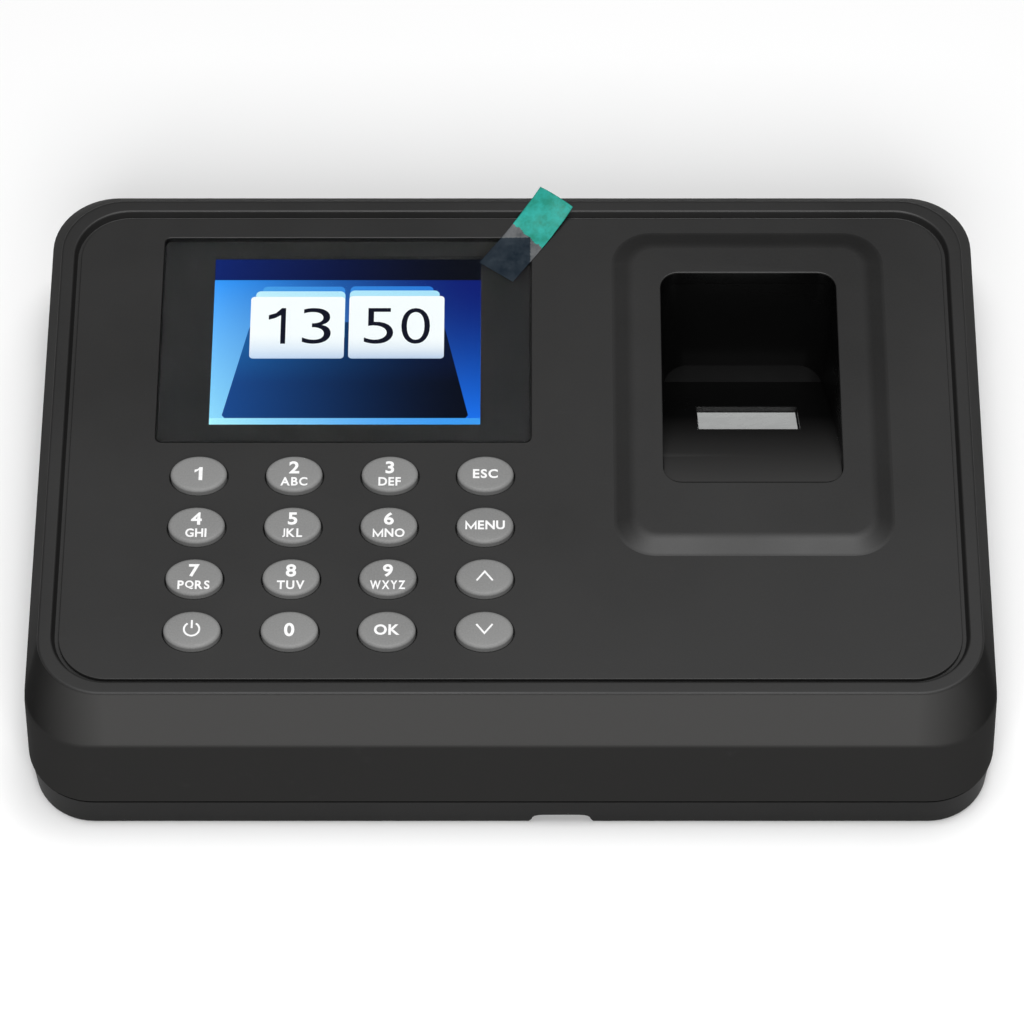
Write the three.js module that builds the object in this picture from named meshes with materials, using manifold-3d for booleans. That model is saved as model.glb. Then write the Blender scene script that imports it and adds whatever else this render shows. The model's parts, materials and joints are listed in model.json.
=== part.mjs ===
// Fingerprint scanner terminal: a desk and wall unit with a colour display, a 16 key keypad and a
// sunk finger guide over an optical sensor. Millimetres, +Z up. The unit lies on its back: +Z is the
// side that the user faces, +Y is the end that points up on a wall. The origin is the centre of the
// rear cover's underside.
import * as THREE from 'three';
import { mergeVertices } from 'three/addons/utils/BufferGeometryUtils.js';
import Module from 'manifold-3d';

const wasm = await Module();
wasm.setup();

// ---------------------------------------------------------------- driving dimensions

// Gap between pieces that meet, and the reach of a cut past the face it starts from.
const GAP = 0.3;
const PAST = 4;

// Outlines at four heights. halfX and halfY are half sizes, midY is the outline's centre.
const SEAM = { z: 8.5, halfX: 86.8, halfY: 60.5, midY: 0, radius: 12.2 };
const WALL_TOP = { z: 27.3, halfX: 86.05, halfY: 59.95, midY: 0, radius: 11.8 };
const RIM = { z: 40.25, halfX: 82.85, halfY: 53.2, midY: -3.55, radius: 11.5 };
const PANEL = { z: 39.6, halfX: 79.2, halfY: 49.7, midY: -3.7, radius: 8.8 };
const RIM_WIDTH = 2.4;
const GROOVE_DEPTH = 1.35;
const GROOVE_FLOOR = 0.3;
const SHELL_WALL = 2.2;
const PANEL_UNDERSIDE = PANEL.z - SHELL_WALL;

// Rear cover.
const COVER_INSET = 0.3;
const COVER_TAPER = 0.5;
const COVER_WALL = 2.3;
const COVER_FLOOR = 2.2;
const COVER_TOP = SEAM.z - GAP;
const LIP = { height: 2.4, thickness: 1.4, root: 2.2 };

// Display.
const WINDOW = { x0: -63.8, x1: 3.45, y0: -3.6, y1: 41.5, thickness: 1.2, radius: 1 };
const WINDOW_DROP = 0.1;
const FILM_THICKNESS = 0.12;
const LCD = { x0: -58, x1: 2.26, y0: -2.1, y1: 40.6, top: 38 };
const LCD_GLASS = 1.8;
const LCD_LIGHT = 1.8;

// Keypad.
const KEY_ROWS = [
  ['key_1', 'key_2', 'key_3', 'key_esc'],
  ['key_4', 'key_5', 'key_6', 'key_menu'],
  ['key_7', 'key_8', 'key_9', 'key_up'],
  ['key_power', 'key_0', 'key_ok', 'key_down'],
];
const KEY_FIRST = { x: -55.8, y: -11.2 };
const KEY_PITCH = { x: 17.08, y: 10.9 };
const KEY = { halfX: 5.05, halfY: 3.82, proud: 1.5, edge: 0.45, flange: 1.0, flangeThickness: 1.1 };
const KEY_SIDES = 20;

// Raised pad and finger recess.
const PAD = { halfX: 24.65, halfY: 35, midX: 43.35, midY: 7.38, radius: 7, height: 1.1, bevel: 3.1 };
const RECESS = { halfX: 16.2, halfY: 23.125, midX: 43.35, midY: 9.975, radius: 3.4 };
const RECESS_DEPTH = 28;
const RECESS_TAPER = 1.5;
const SLOPE = THREE.MathUtils.degToRad(38.5);
const CREST = { radius: 64, angle: THREE.MathUtils.degToRad(20), drop: 0.1 };
const GUIDE_WALL = 1.5;
const GUIDE_TURN = 1;
const PLATEN = { width: 18.7, start: 16.3, end: 5.6, drop: 0.25 };

// Circuit boards and fasteners.
const BOARD = 1.6;
const MAIN_BOARD = { x0: -71.4, x1: 19.3, y0: -51, y1: 47, z: 30 };
const MAIN_BOARD_HOLES = [[-67.6, -47], [15.5, -47], [-67.6, 43], [15.5, 43]];
const PORT_BOARD = { x0: -70, x1: -20, y0: 36, y1: 56.4, z: 12 };
const PORT_BOARD_HOLES = [[-66, 40], [-24, 40]];
const SENSOR_BOARD = { x0: 30, x1: 57, y0: -6, y1: 24, z: 3.8 };
const CASE_SCREWS = [[-75.5, -47], [75.5, -47], [-75.5, 40], [75.5, 40]];
const CASE_SCREW = { head: 2.75, headHeight: 1.8, shank: 1.4, length: 12 };
const BOARD_SCREW = { head: 2.1, headHeight: 1.5, shank: 1.0, length: 6.5 };
const BOSS = 3.7;
const SMALL_BOSS = 2.6;

// Sockets in the back wall, and what the rear cover carries.
const USB = { x: -34, width: 14.4, height: 7, depth: 15, wall: 0.9 };
const JACK = { x: -56, width: 10, height: 10.6, depth: 14, bore: 3.4, pin: 1.05 };
const KEYHOLE = { x: 68, y: 14, entry: 4.75, slot: 2.5, rise: 10 };
const SPEAKER = { x: -45, y: -22, radius: 14, magnet: 8.5, depth: 5.6 };
const GRILLE_HOLE = 1.2;
const GRILLE_PITCH = 5;
const NOTCH = { x: 9, halfWidth: 6.1, shoulder: 5.3, top: 3.2, height: 3.1, depth: 2.9 };

// ---------------------------------------------------------------- shapes and solids

const rounded = (halfX, halfY, radius, midX = 0, midY = 0) => {
  const shape = new THREE.Shape();
  const [x, y, quarter] = [halfX - radius, halfY - radius, Math.PI / 2];
  shape.absarc(midX + x, midY + y, radius, 0, quarter);
  shape.absarc(midX - x, midY + y, radius, quarter, 2 * quarter);
  shape.absarc(midX - x, midY - y, radius, 2 * quarter, 3 * quarter);
  shape.absarc(midX + x, midY - y, radius, 3 * quarter, 4 * quarter);
  return shape;
};

const polygon = (points) => new THREE.Shape(points.map(([x, y]) => new THREE.Vector2(x, y)));

// A closed geometry as a solid that can be cut and joined.
const solid = (geometry) => {
  geometry.deleteAttribute('normal');
  geometry.deleteAttribute('uv');
  const merged = mergeVertices(geometry, 1e-4);
  return new wasm.Manifold(new wasm.Mesh({
    numProp: 3,
    vertProperties: new Float32Array(merged.attributes.position.array),
    triVerts: new Uint32Array(merged.index.array),
  }));
};

// A solid through a stack of rounded outlines, each with its own size, centre and corner radius.
const loft = (levels, segments = 8) => {
  const [base] = levels;
  const steps = levels.length - 1;
  const outline = rounded(base.halfX, base.halfY, base.radius);
  const options = { depth: steps, steps, bevelEnabled: false, curveSegments: segments };
  const geometry = new THREE.ExtrudeGeometry(outline, options);
  const position = geometry.attributes.position;
  for (let i = 0; i < position.count; i += 1) {
    const level = levels[Math.round(position.getZ(i))];
    const [sideX, sideY] = [Math.sign(position.getX(i)), Math.sign(position.getY(i))];
    const swell = level.radius / base.radius;
    const reachX = position.getX(i) - sideX * (base.halfX - base.radius);
    const reachY = position.getY(i) - sideY * (base.halfY - base.radius);
    position.setXYZ(
      i,
      (level.midX ?? 0) + sideX * (level.halfX - level.radius) + reachX * swell,
      (level.midY ?? 0) + sideY * (level.halfY - level.radius) + reachY * swell,
      level.z,
    );
  }
  return solid(geometry);
};

const grown = (level, amount, changes = {}) => ({
  ...level,
  halfX: level.halfX + amount,
  halfY: level.halfY + amount,
  radius: level.radius + amount,
  ...changes,
});

const straight = (level, z0, z1, segments) => loft([{ ...level, z: z0 }, { ...level, z: z1 }], segments);

const block = (x0, x1, y0, y1, z0, z1) => {
  const geometry = new THREE.BoxGeometry(x1 - x0, y1 - y0, z1 - z0);
  return solid(geometry.translate((x0 + x1) / 2, (y0 + y1) / 2, (z0 + z1) / 2));
};

const post = (x, y, z0, z1, radius, sides = 20) => {
  const geometry = new THREE.CylinderGeometry(radius, radius, z1 - z0, sides);
  return solid(geometry.rotateX(Math.PI / 2).translate(x, y, (z0 + z1) / 2));
};

const extruded = (shape, depth, axes, origin) => {
  const geometry = new THREE.ExtrudeGeometry(shape, { depth, bevelEnabled: false, curveSegments: 6 });
  const place = new THREE.Matrix4().makeBasis(...axes).setPosition(...origin);
  return solid(geometry.applyMatrix4(place));
};

const X_AXIS = new THREE.Vector3(1, 0, 0);
const Y_AXIS = new THREE.Vector3(0, 1, 0);
const Z_AXIS = new THREE.Vector3(0, 0, 1);

// A side profile in (y, z) carried from x0 to x1, and a front profile in (x, z) carried from y0 to y1.
const alongX = (shape, x0, x1) => extruded(shape, x1 - x0, [Y_AXIS, Z_AXIS, X_AXIS], [x0, 0, 0]);
const alongY = (shape, y0, y1) => (
  extruded(shape, y1 - y0, [X_AXIS, Z_AXIS, Y_AXIS.clone().negate()], [0, y1, 0])
);

// A turned solid on the Z axis, from [radius, height] pairs that start and end on the axis.
const turned = (profile, sides) => {
  const points = profile.map(([radius, height]) => new THREE.Vector2(radius, height));
  return solid(new THREE.LatheGeometry(points, sides).rotateX(Math.PI / 2));
};

const joined = (first, ...others) => others.reduce((whole, other) => whole.add(other), first);
const cut = (first, ...others) => others.reduce((whole, other) => whole.subtract(other), first);

// A flat ribbon with square bends, from the points of its upper line in (u, z).
const ribbon = (points, thickness) => {
  const under = points.map(([u, z], i) => {
    const [before, after] = [points[Math.max(i - 1, 0)], points[Math.min(i + 1, points.length - 1)]];
    const along = new THREE.Vector2(after[0] - before[0], after[1] - before[1]).normalize();
    return [u + along.y * thickness, z - along.x * thickness];
  });
  return polygon([...points, ...under.reverse()]);
};

// ---------------------------------------------------------------- finger guide outline

const recessBack = RECESS.midY + RECESS.halfY;
const recessFront = RECESS.midY - RECESS.halfY;
const padTop = PANEL.z + PAD.height;
const ledgeZ = PANEL.z - RECESS_DEPTH;
const crestTop = padTop - CREST.drop;
const crestCentreY = recessFront - CREST.radius * Math.sin(CREST.angle);
const crestCentreZ = crestTop - CREST.radius * Math.cos(CREST.angle);
const slopeTopY = crestCentreY + CREST.radius * Math.sin(SLOPE);
const slopeTopZ = crestCentreZ + CREST.radius * Math.cos(SLOPE);
const slopeStart = slopeTopY + (slopeTopZ - ledgeZ) / Math.tan(SLOPE);
const slopeZ = (y, drop = 0) => ledgeZ + (slopeStart - y) * Math.tan(SLOPE) - drop / Math.cos(SLOPE);

// The space above the guide's floor: ledge, straight slope, and the long crest that eases to the pad.
const aboveFloor = () => {
  const shape = new THREE.Shape();
  shape.moveTo(recessBack + PAST, ledgeZ);
  shape.lineTo(recessBack + PAST, padTop + PAST);
  shape.lineTo(recessFront - PAST, padTop + PAST);
  shape.lineTo(recessFront - PAST, crestTop);
  shape.lineTo(recessFront, crestTop);
  const [from, to] = [Math.PI / 2 - CREST.angle, Math.PI / 2 - SLOPE];
  shape.absarc(crestCentreY, crestCentreZ, CREST.radius, from, to, true);
  shape.lineTo(slopeStart, ledgeZ);
  return shape;
};

// A point of the sensor's section, given along the slope and down into it.
const onSlope = (y, depth) => [y - depth * Math.sin(SLOPE), slopeZ(y) - depth * Math.cos(SLOPE)];

// ---------------------------------------------------------------- housing

const keyPlaces = KEY_ROWS.flatMap((row, j) => row.map((name, i) => ({
  name,
  x: KEY_FIRST.x + i * KEY_PITCH.x,
  y: KEY_FIRST.y - j * KEY_PITCH.y,
})));

const oval = (halfX, halfY, sides) => {
  const curve = new THREE.EllipseCurve(0, 0, halfX, halfY);
  return new THREE.Shape(curve.getPoints(sides).slice(0, sides));
};

const keyHole = ({ x, y }) => {
  const hole = oval(KEY.halfX + GAP, KEY.halfY + GAP, KEY_SIDES);
  return extruded(hole, 2 * PAST, [X_AXIS, Y_AXIS, Z_AXIS], [x, y, PANEL_UNDERSIDE - PAST]);
};

const shellSkin = () => {
  const rimInner = grown(RIM, -RIM_WIDTH, { radius: 10 });
  const grooveFoot = grown(PANEL, GROOVE_FLOOR, { z: RIM.z - GROOVE_DEPTH });
  const sunk = loft([grooveFoot, rimInner, { ...rimInner, z: RIM.z + PAST }]);
  const panel = straight(PANEL, PANEL_UNDERSIDE, PANEL.z);
  const padFoot = { ...PAD, z: PANEL.z };
  const padFace = grown(padFoot, -PAD.bevel, { z: padTop, radius: 4.5 });
  const pad = loft([{ ...padFoot, z: PANEL_UNDERSIDE }, padFoot, padFace]);
  const inside = loft([
    grown(SEAM, -COVER_WALL, { z: SEAM.z - PAST }),
    grown(SEAM, -COVER_WALL),
    grown(WALL_TOP, -SHELL_WALL),
    { z: PANEL_UNDERSIDE, halfX: 81.2, halfY: 52, midY: -3.1, radius: 9.3 },
  ]);
  return joined(cut(loft([SEAM, WALL_TOP, RIM]), sunk, inside), panel, pad);
};

const windowFrame = (inset, z0, z1) => straight({
  halfX: (WINDOW.x1 - WINDOW.x0) / 2 - inset,
  halfY: (WINDOW.y1 - WINDOW.y0) / 2 - inset,
  midX: (WINDOW.x0 + WINDOW.x1) / 2,
  midY: (WINDOW.y0 + WINDOW.y1) / 2,
  radius: WINDOW.radius,
}, z0, z1, 4);

const socketCuts = () => [
  block(
    USB.x - USB.width / 2 - GAP, USB.x + USB.width / 2 + GAP, SEAM.halfY - PAST, SEAM.halfY + PAST,
    PORT_BOARD.z + BOARD, PORT_BOARD.z + BOARD + USB.height + 2 * GAP,
  ),
  block(
    JACK.x - JACK.width / 2 - GAP, JACK.x + JACK.width / 2 + GAP, SEAM.halfY - PAST, SEAM.halfY + PAST,
    PORT_BOARD.z + BOARD, PORT_BOARD.z + BOARD + JACK.height + 2 * GAP,
  ),
];

const GUIDE_SCREWS = [[RECESS.midX, recessFront - 5], [RECESS.midX, recessBack + 5]];
const GUIDE_TAB = { z: 31, thickness: 2, halfX: 4 };

const shellBosses = () => {
  const caseBosses = CASE_SCREWS.map(([x, y]) => cut(
    post(x, y, 5, PANEL_UNDERSIDE + 0.6, BOSS),
    post(x, y, 5 - PAST, 17, CASE_SCREW.shank + GAP, 12),
  ));
  const boardTop = MAIN_BOARD.z + BOARD + GAP;
  const boardBosses = MAIN_BOARD_HOLES.map(([x, y]) => cut(
    post(x, y, boardTop, PANEL_UNDERSIDE + 0.6, SMALL_BOSS, 16),
    post(x, y, boardTop - PAST, boardTop + 4.6, BOARD_SCREW.shank + GAP, 10),
  ));
  const tabTop = GUIDE_TAB.z + GUIDE_TAB.thickness + GAP;
  const guideBosses = GUIDE_SCREWS.map(([x, y]) => cut(
    post(x, y, tabTop, PANEL_UNDERSIDE + 0.6, SMALL_BOSS, 16),
    post(x, y, tabTop - PAST, tabTop + 3.6, BOARD_SCREW.shank + GAP, 10),
  ));
  return [...caseBosses, ...boardBosses, ...guideBosses];
};

const frontShell = () => {
  const lcdHole = block(
    LCD.x0 - GAP, LCD.x1 + GAP, LCD.y0 - GAP, LCD.y1 + GAP, PANEL_UNDERSIDE - PAST, PANEL.z,
  );
  const windowSeat = windowFrame(-0.2, PANEL.z - WINDOW.thickness - WINDOW_DROP - 0.2, PANEL.z + PAST);
  const recess = straight(RECESS, PANEL_UNDERSIDE - PAST, padTop + PAST, 6);
  const skin = cut(shellSkin(), lcdHole, windowSeat, recess, ...socketCuts(), ...keyPlaces.map(keyHole));
  return joined(skin, ...shellBosses());
};

const keyholeCut = (side) => {
  const x = side * KEYHOLE.x;
  const slotEnd = KEYHOLE.y + KEYHOLE.rise;
  return joined(
    post(x, KEYHOLE.y, -PAST, COVER_FLOOR + PAST, KEYHOLE.entry, 24),
    post(x, slotEnd, -PAST, COVER_FLOOR + PAST, KEYHOLE.slot, 16),
    block(x - KEYHOLE.slot, x + KEYHOLE.slot, KEYHOLE.y, slotEnd, -PAST, COVER_FLOOR + PAST),
  );
};

const notchCut = () => {
  const shape = new THREE.Shape();
  shape.moveTo(NOTCH.x - NOTCH.halfWidth, -1);
  shape.lineTo(NOTCH.x + NOTCH.halfWidth, -1);
  shape.lineTo(NOTCH.x + NOTCH.halfWidth, 0);
  shape.lineTo(NOTCH.x + NOTCH.shoulder, NOTCH.height / 2);
  shape.quadraticCurveTo(NOTCH.x + NOTCH.shoulder - 0.6, NOTCH.height, NOTCH.x + NOTCH.top, NOTCH.height);
  shape.lineTo(NOTCH.x - NOTCH.top, NOTCH.height);
  shape.quadraticCurveTo(NOTCH.x - NOTCH.shoulder + 0.6, NOTCH.height, NOTCH.x - NOTCH.shoulder, NOTCH.height / 2);
  shape.lineTo(NOTCH.x - NOTCH.halfWidth, 0);
  return alongY(shape, -SEAM.halfY - PAST, -SEAM.halfY + COVER_INSET + NOTCH.depth);
};

const grille = () => [0, 1, 2, 3, 4, 5, 6].map((i) => {
  const reach = i === 0 ? 0 : GRILLE_PITCH;
  const angle = i * Math.PI / 3;
  const [x, y] = [SPEAKER.x + reach * Math.cos(angle), SPEAKER.y + reach * Math.sin(angle)];
  return post(x, y, -PAST, COVER_FLOOR + PAST, GRILLE_HOLE, 10);
});

const rearCover = () => {
  const top = grown(SEAM, -COVER_INSET, { z: COVER_TOP });
  const foot = grown(SEAM, -COVER_INSET - COVER_TAPER, { z: 0, radius: 11 });
  const hollow = loft([grown(foot, -COVER_WALL, { z: COVER_FLOOR }), grown(top, -COVER_WALL, { z: COVER_TOP + PAST })]);
  const lipOuter = grown(SEAM, -COVER_WALL - GAP);
  const lip = cut(
    straight(lipOuter, COVER_TOP - LIP.root, COVER_TOP + LIP.height),
    straight(grown(lipOuter, -LIP.thickness), COVER_TOP - LIP.root - PAST, COVER_TOP + LIP.height + PAST),
  );
  const notchBack = block(
    NOTCH.x - 8, NOTCH.x + 8, -SEAM.halfY + 2, -SEAM.halfY + COVER_INSET + NOTCH.depth + 2, 1, 5.5,
  );
  const wells = CASE_SCREWS.map(([x, y]) => post(x, y, 1, 4.7, BOSS + 1.2));
  const boardPosts = PORT_BOARD_HOLES.map(([x, y]) => cut(
    post(x, y, 1, PORT_BOARD.z - GAP, SMALL_BOSS, 16),
    post(x, y, PORT_BOARD.z - 6, PORT_BOARD.z, BOARD_SCREW.shank + GAP, 10),
  ));
  const sensorPosts = [[33, -3], [54, -3], [33, 21], [54, 21]].map(([x, y]) => (
    post(x, y, 1, SENSOR_BOARD.z - GAP, 2, 12)
  ));
  const speakerRing = cut(
    post(SPEAKER.x, SPEAKER.y, 1, 5, SPEAKER.radius + 2, 32),
    post(SPEAKER.x, SPEAKER.y, COVER_FLOOR, 5 + PAST, SPEAKER.radius + GAP, 32),
  );
  const screwHoles = CASE_SCREWS.flatMap(([x, y]) => [
    post(x, y, -PAST, 0.5 + CASE_SCREW.headHeight + GAP, CASE_SCREW.head + GAP, 20),
    post(x, y, 0, 4.7 + PAST, CASE_SCREW.shank + GAP, 12),
  ]);
  const body = joined(
    cut(loft([foot, top]), hollow), lip, notchBack, ...wells, ...boardPosts, ...sensorPosts, speakerRing,
  );
  return cut(body, ...screwHoles, keyholeCut(1), keyholeCut(-1), notchCut(), ...grille());
};

// ---------------------------------------------------------------- display

const displayWindow = () => windowFrame(0, PANEL.z - WINDOW_DROP - WINDOW.thickness, PANEL.z - WINDOW_DROP);

const screenFilm = () => {
  const z = PANEL.z - WINDOW_DROP + 0.02;
  return windowFrame(0.4, z, z + FILM_THICKNESS);
};

// The pull tab is a strip stuck on the film's corner: it lies flat there and curls up to its tip.
const TAB = { x: -2.86, y: 33.7, angle: 54.4, length: 19.2, width: 7.5, thickness: 0.18, lift: 2.6 };

const filmTab = () => {
  const steps = 12;
  const line = Array.from({ length: steps + 1 }, (_, i) => {
    const part = i / steps;
    const rise = Math.max(0, (part - 0.35) / 0.65);
    return [part * TAB.length, TAB.lift * (1 - Math.cos(rise * Math.PI / 2))];
  });
  const strip = ribbon([...line].reverse(), TAB.thickness);
  const flat = extruded(strip, TAB.width, [X_AXIS, Z_AXIS, Y_AXIS.clone().negate()], [0, TAB.width / 2, 0]);
  const z = PANEL.z - WINDOW_DROP + 0.02 + FILM_THICKNESS + 0.05;
  return flat.rotate([0, 0, TAB.angle]).translate([TAB.x, TAB.y, z]);
};

const lcdPanel = () => block(LCD.x0, LCD.x1, LCD.y0, LCD.y1, LCD.top - LCD_GLASS, LCD.top);

const lcdBacklight = () => {
  const top = LCD.top - LCD_GLASS - 0.1;
  return block(LCD.x0, LCD.x1, LCD.y0, LCD.y1, top - LCD_LIGHT, top);
};

const lcdHolder = () => {
  const [z0, z1] = [MAIN_BOARD.z + BOARD + GAP, LCD.top - LCD_GLASS - 0.1 - LCD_LIGHT - GAP];
  return cut(
    block(LCD.x0 - 1, LCD.x1 + 1, LCD.y0 - 1, LCD.y1 + 1, z0, z1),
    block(LCD.x0 + 3, LCD.x1 - 3, LCD.y0 + 3, LCD.y1 - 3, z0 - PAST, z1 + PAST),
    block(LCD.x1 - 4, LCD.x1 + 2, 8, 30, z0 - PAST, z1 + PAST),
  );
};

const lcdFlex = () => {
  const top = LCD.top - LCD_GLASS - 0.1 - LCD_LIGHT - GAP;
  const foot = MAIN_BOARD.z + BOARD + GAP + 0.3;
  const line = [[LCD.x1 - 12, top], [LCD.x1 - 1.5, top], [LCD.x1 - 1.5, foot], [LCD.x1 - 8, foot]];
  return alongY(ribbon(line, 0.25), 10, 28);
};

// ---------------------------------------------------------------- keypad

const keyShape = () => {
  const squash = KEY.halfY / KEY.halfX;
  const top = PANEL.z + KEY.proud;
  const flangeTop = PANEL_UNDERSIDE - 0.4;
  const flange = KEY.halfX + KEY.flange;
  return turned([
    [0, flangeTop - KEY.flangeThickness],
    [flange, flangeTop - KEY.flangeThickness],
    [flange, flangeTop],
    [KEY.halfX, flangeTop],
    [KEY.halfX, top - KEY.edge],
    [KEY.halfX - KEY.edge * 0.3, top - KEY.edge * 0.3],
    [KEY.halfX - KEY.edge, top],
    [0, top + 0.1],
  ], KEY_SIDES).scale([1, squash, 1]);
};

const keypadMat = () => {
  const z0 = MAIN_BOARD.z + BOARD + GAP;
  const [last] = keyPlaces.slice(-1);
  const sheet = block(KEY_FIRST.x - 7.6, last.x + 7.6, last.y - 5, KEY_FIRST.y + 5, z0, z0 + 1.1);
  const pucks = keyPlaces.map(({ x, y }) => post(x, y, z0 + 0.5, z0 + 2.5, 2.4, 12));
  return joined(sheet, ...pucks);
};

// ---------------------------------------------------------------- finger guide and sensor

const fingerGuide = () => {
  const floorSpace = aboveFloor();
  const taperedFoot = {
    ...RECESS,
    z: ledgeZ - 1,
    halfX: RECESS.halfX - RECESS_TAPER,
    halfY: RECESS.halfY - RECESS_TAPER / 4,
    midY: RECESS.midY - RECESS_TAPER / 4,
    radius: 4.5,
  };
  const well = loft([taperedFoot, { ...RECESS, z: PANEL_UNDERSIDE }, { ...RECESS, z: padTop + PAST }], 6);
  const hollow = well.intersect(alongX(floorSpace, RECESS.midX - 30, RECESS.midX + 30));
  const outerTop = grown(RECESS, GUIDE_WALL, { z: PANEL_UNDERSIDE - GAP });
  const outerFoot = grown(taperedFoot, GUIDE_WALL, { z: ledgeZ - GUIDE_WALL - 3 });
  const turnY = GUIDE_TURN;
  const underside = polygon([
    [recessBack + PAST, ledgeZ - GUIDE_WALL],
    [recessBack + PAST, PANEL_UNDERSIDE],
    [recessFront - PAST, PANEL_UNDERSIDE],
    [recessFront - PAST, slopeZ(turnY, GUIDE_WALL)],
    [turnY, slopeZ(turnY, GUIDE_WALL)],
    [slopeStart - GUIDE_WALL * Math.tan(SLOPE / 2), ledgeZ - GUIDE_WALL],
  ]);
  const body = loft([outerFoot, outerTop], 6).intersect(alongX(underside, RECESS.midX - 30, RECESS.midX + 30));
  const plugTop = grown(RECESS, -GAP);
  const plug = cut(
    straight(plugTop, slopeZ(turnY, GUIDE_WALL), padTop, 6),
    alongX(floorSpace, RECESS.midX - 30, RECESS.midX + 30),
  );
  const tabs = GUIDE_SCREWS.map(([x, y], i) => {
    const [y0, y1] = i === 0 ? [y - 3, recessFront - 1] : [recessBack + 1, y + 3];
    return block(x - GUIDE_TAB.halfX, x + GUIDE_TAB.halfX, y0, y1, GUIDE_TAB.z, GUIDE_TAB.z + GUIDE_TAB.thickness);
  });
  const neck = block(
    RECESS.midX - GUIDE_TAB.halfX, RECESS.midX + GUIDE_TAB.halfX, recessFront - 1.5, recessFront + 2,
    GUIDE_TAB.z, slopeZ(turnY, GUIDE_WALL) + 0.5,
  );
  const holes = GUIDE_SCREWS.map(([x, y]) => post(x, y, 20, 36, BOARD_SCREW.shank + GAP, 10));
  const platenHole = alongX(
    polygon([
      onSlope(PLATEN.start, -3), onSlope(PLATEN.end, -3), onSlope(PLATEN.end, 4), onSlope(PLATEN.start, 4),
    ]),
    RECESS.midX - PLATEN.width / 2, RECESS.midX + PLATEN.width / 2,
  );
  return cut(joined(cut(body, hollow), plug, neck, ...tabs), platenHole, ...holes);
};

const prismOutline = (margin, drop) => polygon([
  onSlope(PLATEN.start - GAP + margin, drop),
  onSlope(PLATEN.start - GAP + margin, 2.2 + margin),
  onSlope((PLATEN.start + PLATEN.end) / 2 + 1.5 + margin, 8 + margin),
  onSlope((PLATEN.start + PLATEN.end) / 2 - 1.5 - margin, 8 + margin),
  onSlope(PLATEN.end + GAP - margin, 2.2 + margin),
  onSlope(PLATEN.end + GAP - margin, drop),
]);

const sensorGlass = () => {
  const half = PLATEN.width / 2 - GAP;
  return alongX(prismOutline(0, PLATEN.drop), RECESS.midX - half, RECESS.midX + half);
};

const sensorHousing = () => {
  const half = PLATEN.width / 2 + 3;
  const [back, shoulder, front] = [SENSOR_BOARD.y1 - 3, GUIDE_TURN, -4];
  const z0 = SENSOR_BOARD.z + BOARD + GAP;
  const roof = (y) => slopeZ(y, GUIDE_WALL + GAP);
  const outer = alongX(
    polygon([[back, z0], [back, roof(back)], [shoulder, roof(shoulder)], [front, roof(shoulder)], [front, z0]]),
    RECESS.midX - half, RECESS.midX + half,
  );
  const pocket = alongX(
    prismOutline(GAP, -2), RECESS.midX - PLATEN.width / 2, RECESS.midX + PLATEN.width / 2,
  );
  const shaft = block(RECESS.midX - 5.5, RECESS.midX + 5.5, 1, 11, z0 - PAST, 22);
  return cut(outer, pocket, shaft);
};

const sensorBoard = () => block(
  SENSOR_BOARD.x0, SENSOR_BOARD.x1, SENSOR_BOARD.y0, SENSOR_BOARD.y1, SENSOR_BOARD.z, SENSOR_BOARD.z + BOARD,
);

const sensorCable = () => {
  const foot = SENSOR_BOARD.z + BOARD + GAP + 0.4;
  const top = MAIN_BOARD.z - GAP;
  const line = [[SENSOR_BOARD.x0 + 0.6, foot], [22, foot], [22, top - 0.3], [13, top - 0.3]];
  return alongY(ribbon([...line].reverse(), 0.4), -3, 6);
};

// ---------------------------------------------------------------- electronics

const mainBoard = () => {
  const { x0, x1, y0, y1, z } = MAIN_BOARD;
  const holes = MAIN_BOARD_HOLES.map(([x, y]) => post(x, y, z - PAST, z + PAST, BOARD_SCREW.shank + GAP, 12));
  return cut(block(x0, x1, y0, y1, z, z + BOARD), ...holes);
};

const portBoard = () => {
  const { x0, x1, y0, y1, z } = PORT_BOARD;
  const holes = PORT_BOARD_HOLES.map(([x, y]) => post(x, y, z - PAST, z + PAST, BOARD_SCREW.shank + GAP, 12));
  return cut(block(x0, x1, y0, y1, z, z + BOARD), ...holes);
};

const socketFront = SEAM.halfY - 1.0;
const socketZ = PORT_BOARD.z + BOARD + GAP;

const usbPort = () => cut(
  block(
    USB.x - USB.width / 2, USB.x + USB.width / 2, socketFront - USB.depth, socketFront,
    socketZ, socketZ + USB.height,
  ),
  block(
    USB.x - USB.width / 2 + USB.wall, USB.x + USB.width / 2 - USB.wall,
    socketFront - USB.depth + 3, socketFront + PAST, socketZ + USB.wall, socketZ + USB.height - USB.wall,
  ),
);

const dcJack = () => {
  const boreEnd = socketFront - 9.5;
  const bar = (radius, y0, y1, sides) => {
    const geometry = new THREE.CylinderGeometry(radius, radius, y1 - y0, sides);
    return solid(geometry.translate(JACK.x, (y0 + y1) / 2, socketZ + JACK.height / 2));
  };
  const shell = cut(
    block(
      JACK.x - JACK.width / 2, JACK.x + JACK.width / 2, socketFront - JACK.depth, socketFront,
      socketZ, socketZ + JACK.height,
    ),
    bar(JACK.bore, boreEnd, socketFront + PAST, 20),
  );
  return joined(shell, bar(JACK.pin, boreEnd - 1, socketFront - 1, 12));
};

const portCable = () => {
  const foot = PORT_BOARD.z + BOARD + GAP + 0.4;
  const top = MAIN_BOARD.z - GAP - 0.3;
  const line = [[PORT_BOARD.y0 + 3, foot], [32, foot], [32, top], [24, top]];
  return alongX(ribbon([...line].reverse(), 0.4), -60, -48);
};

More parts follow.
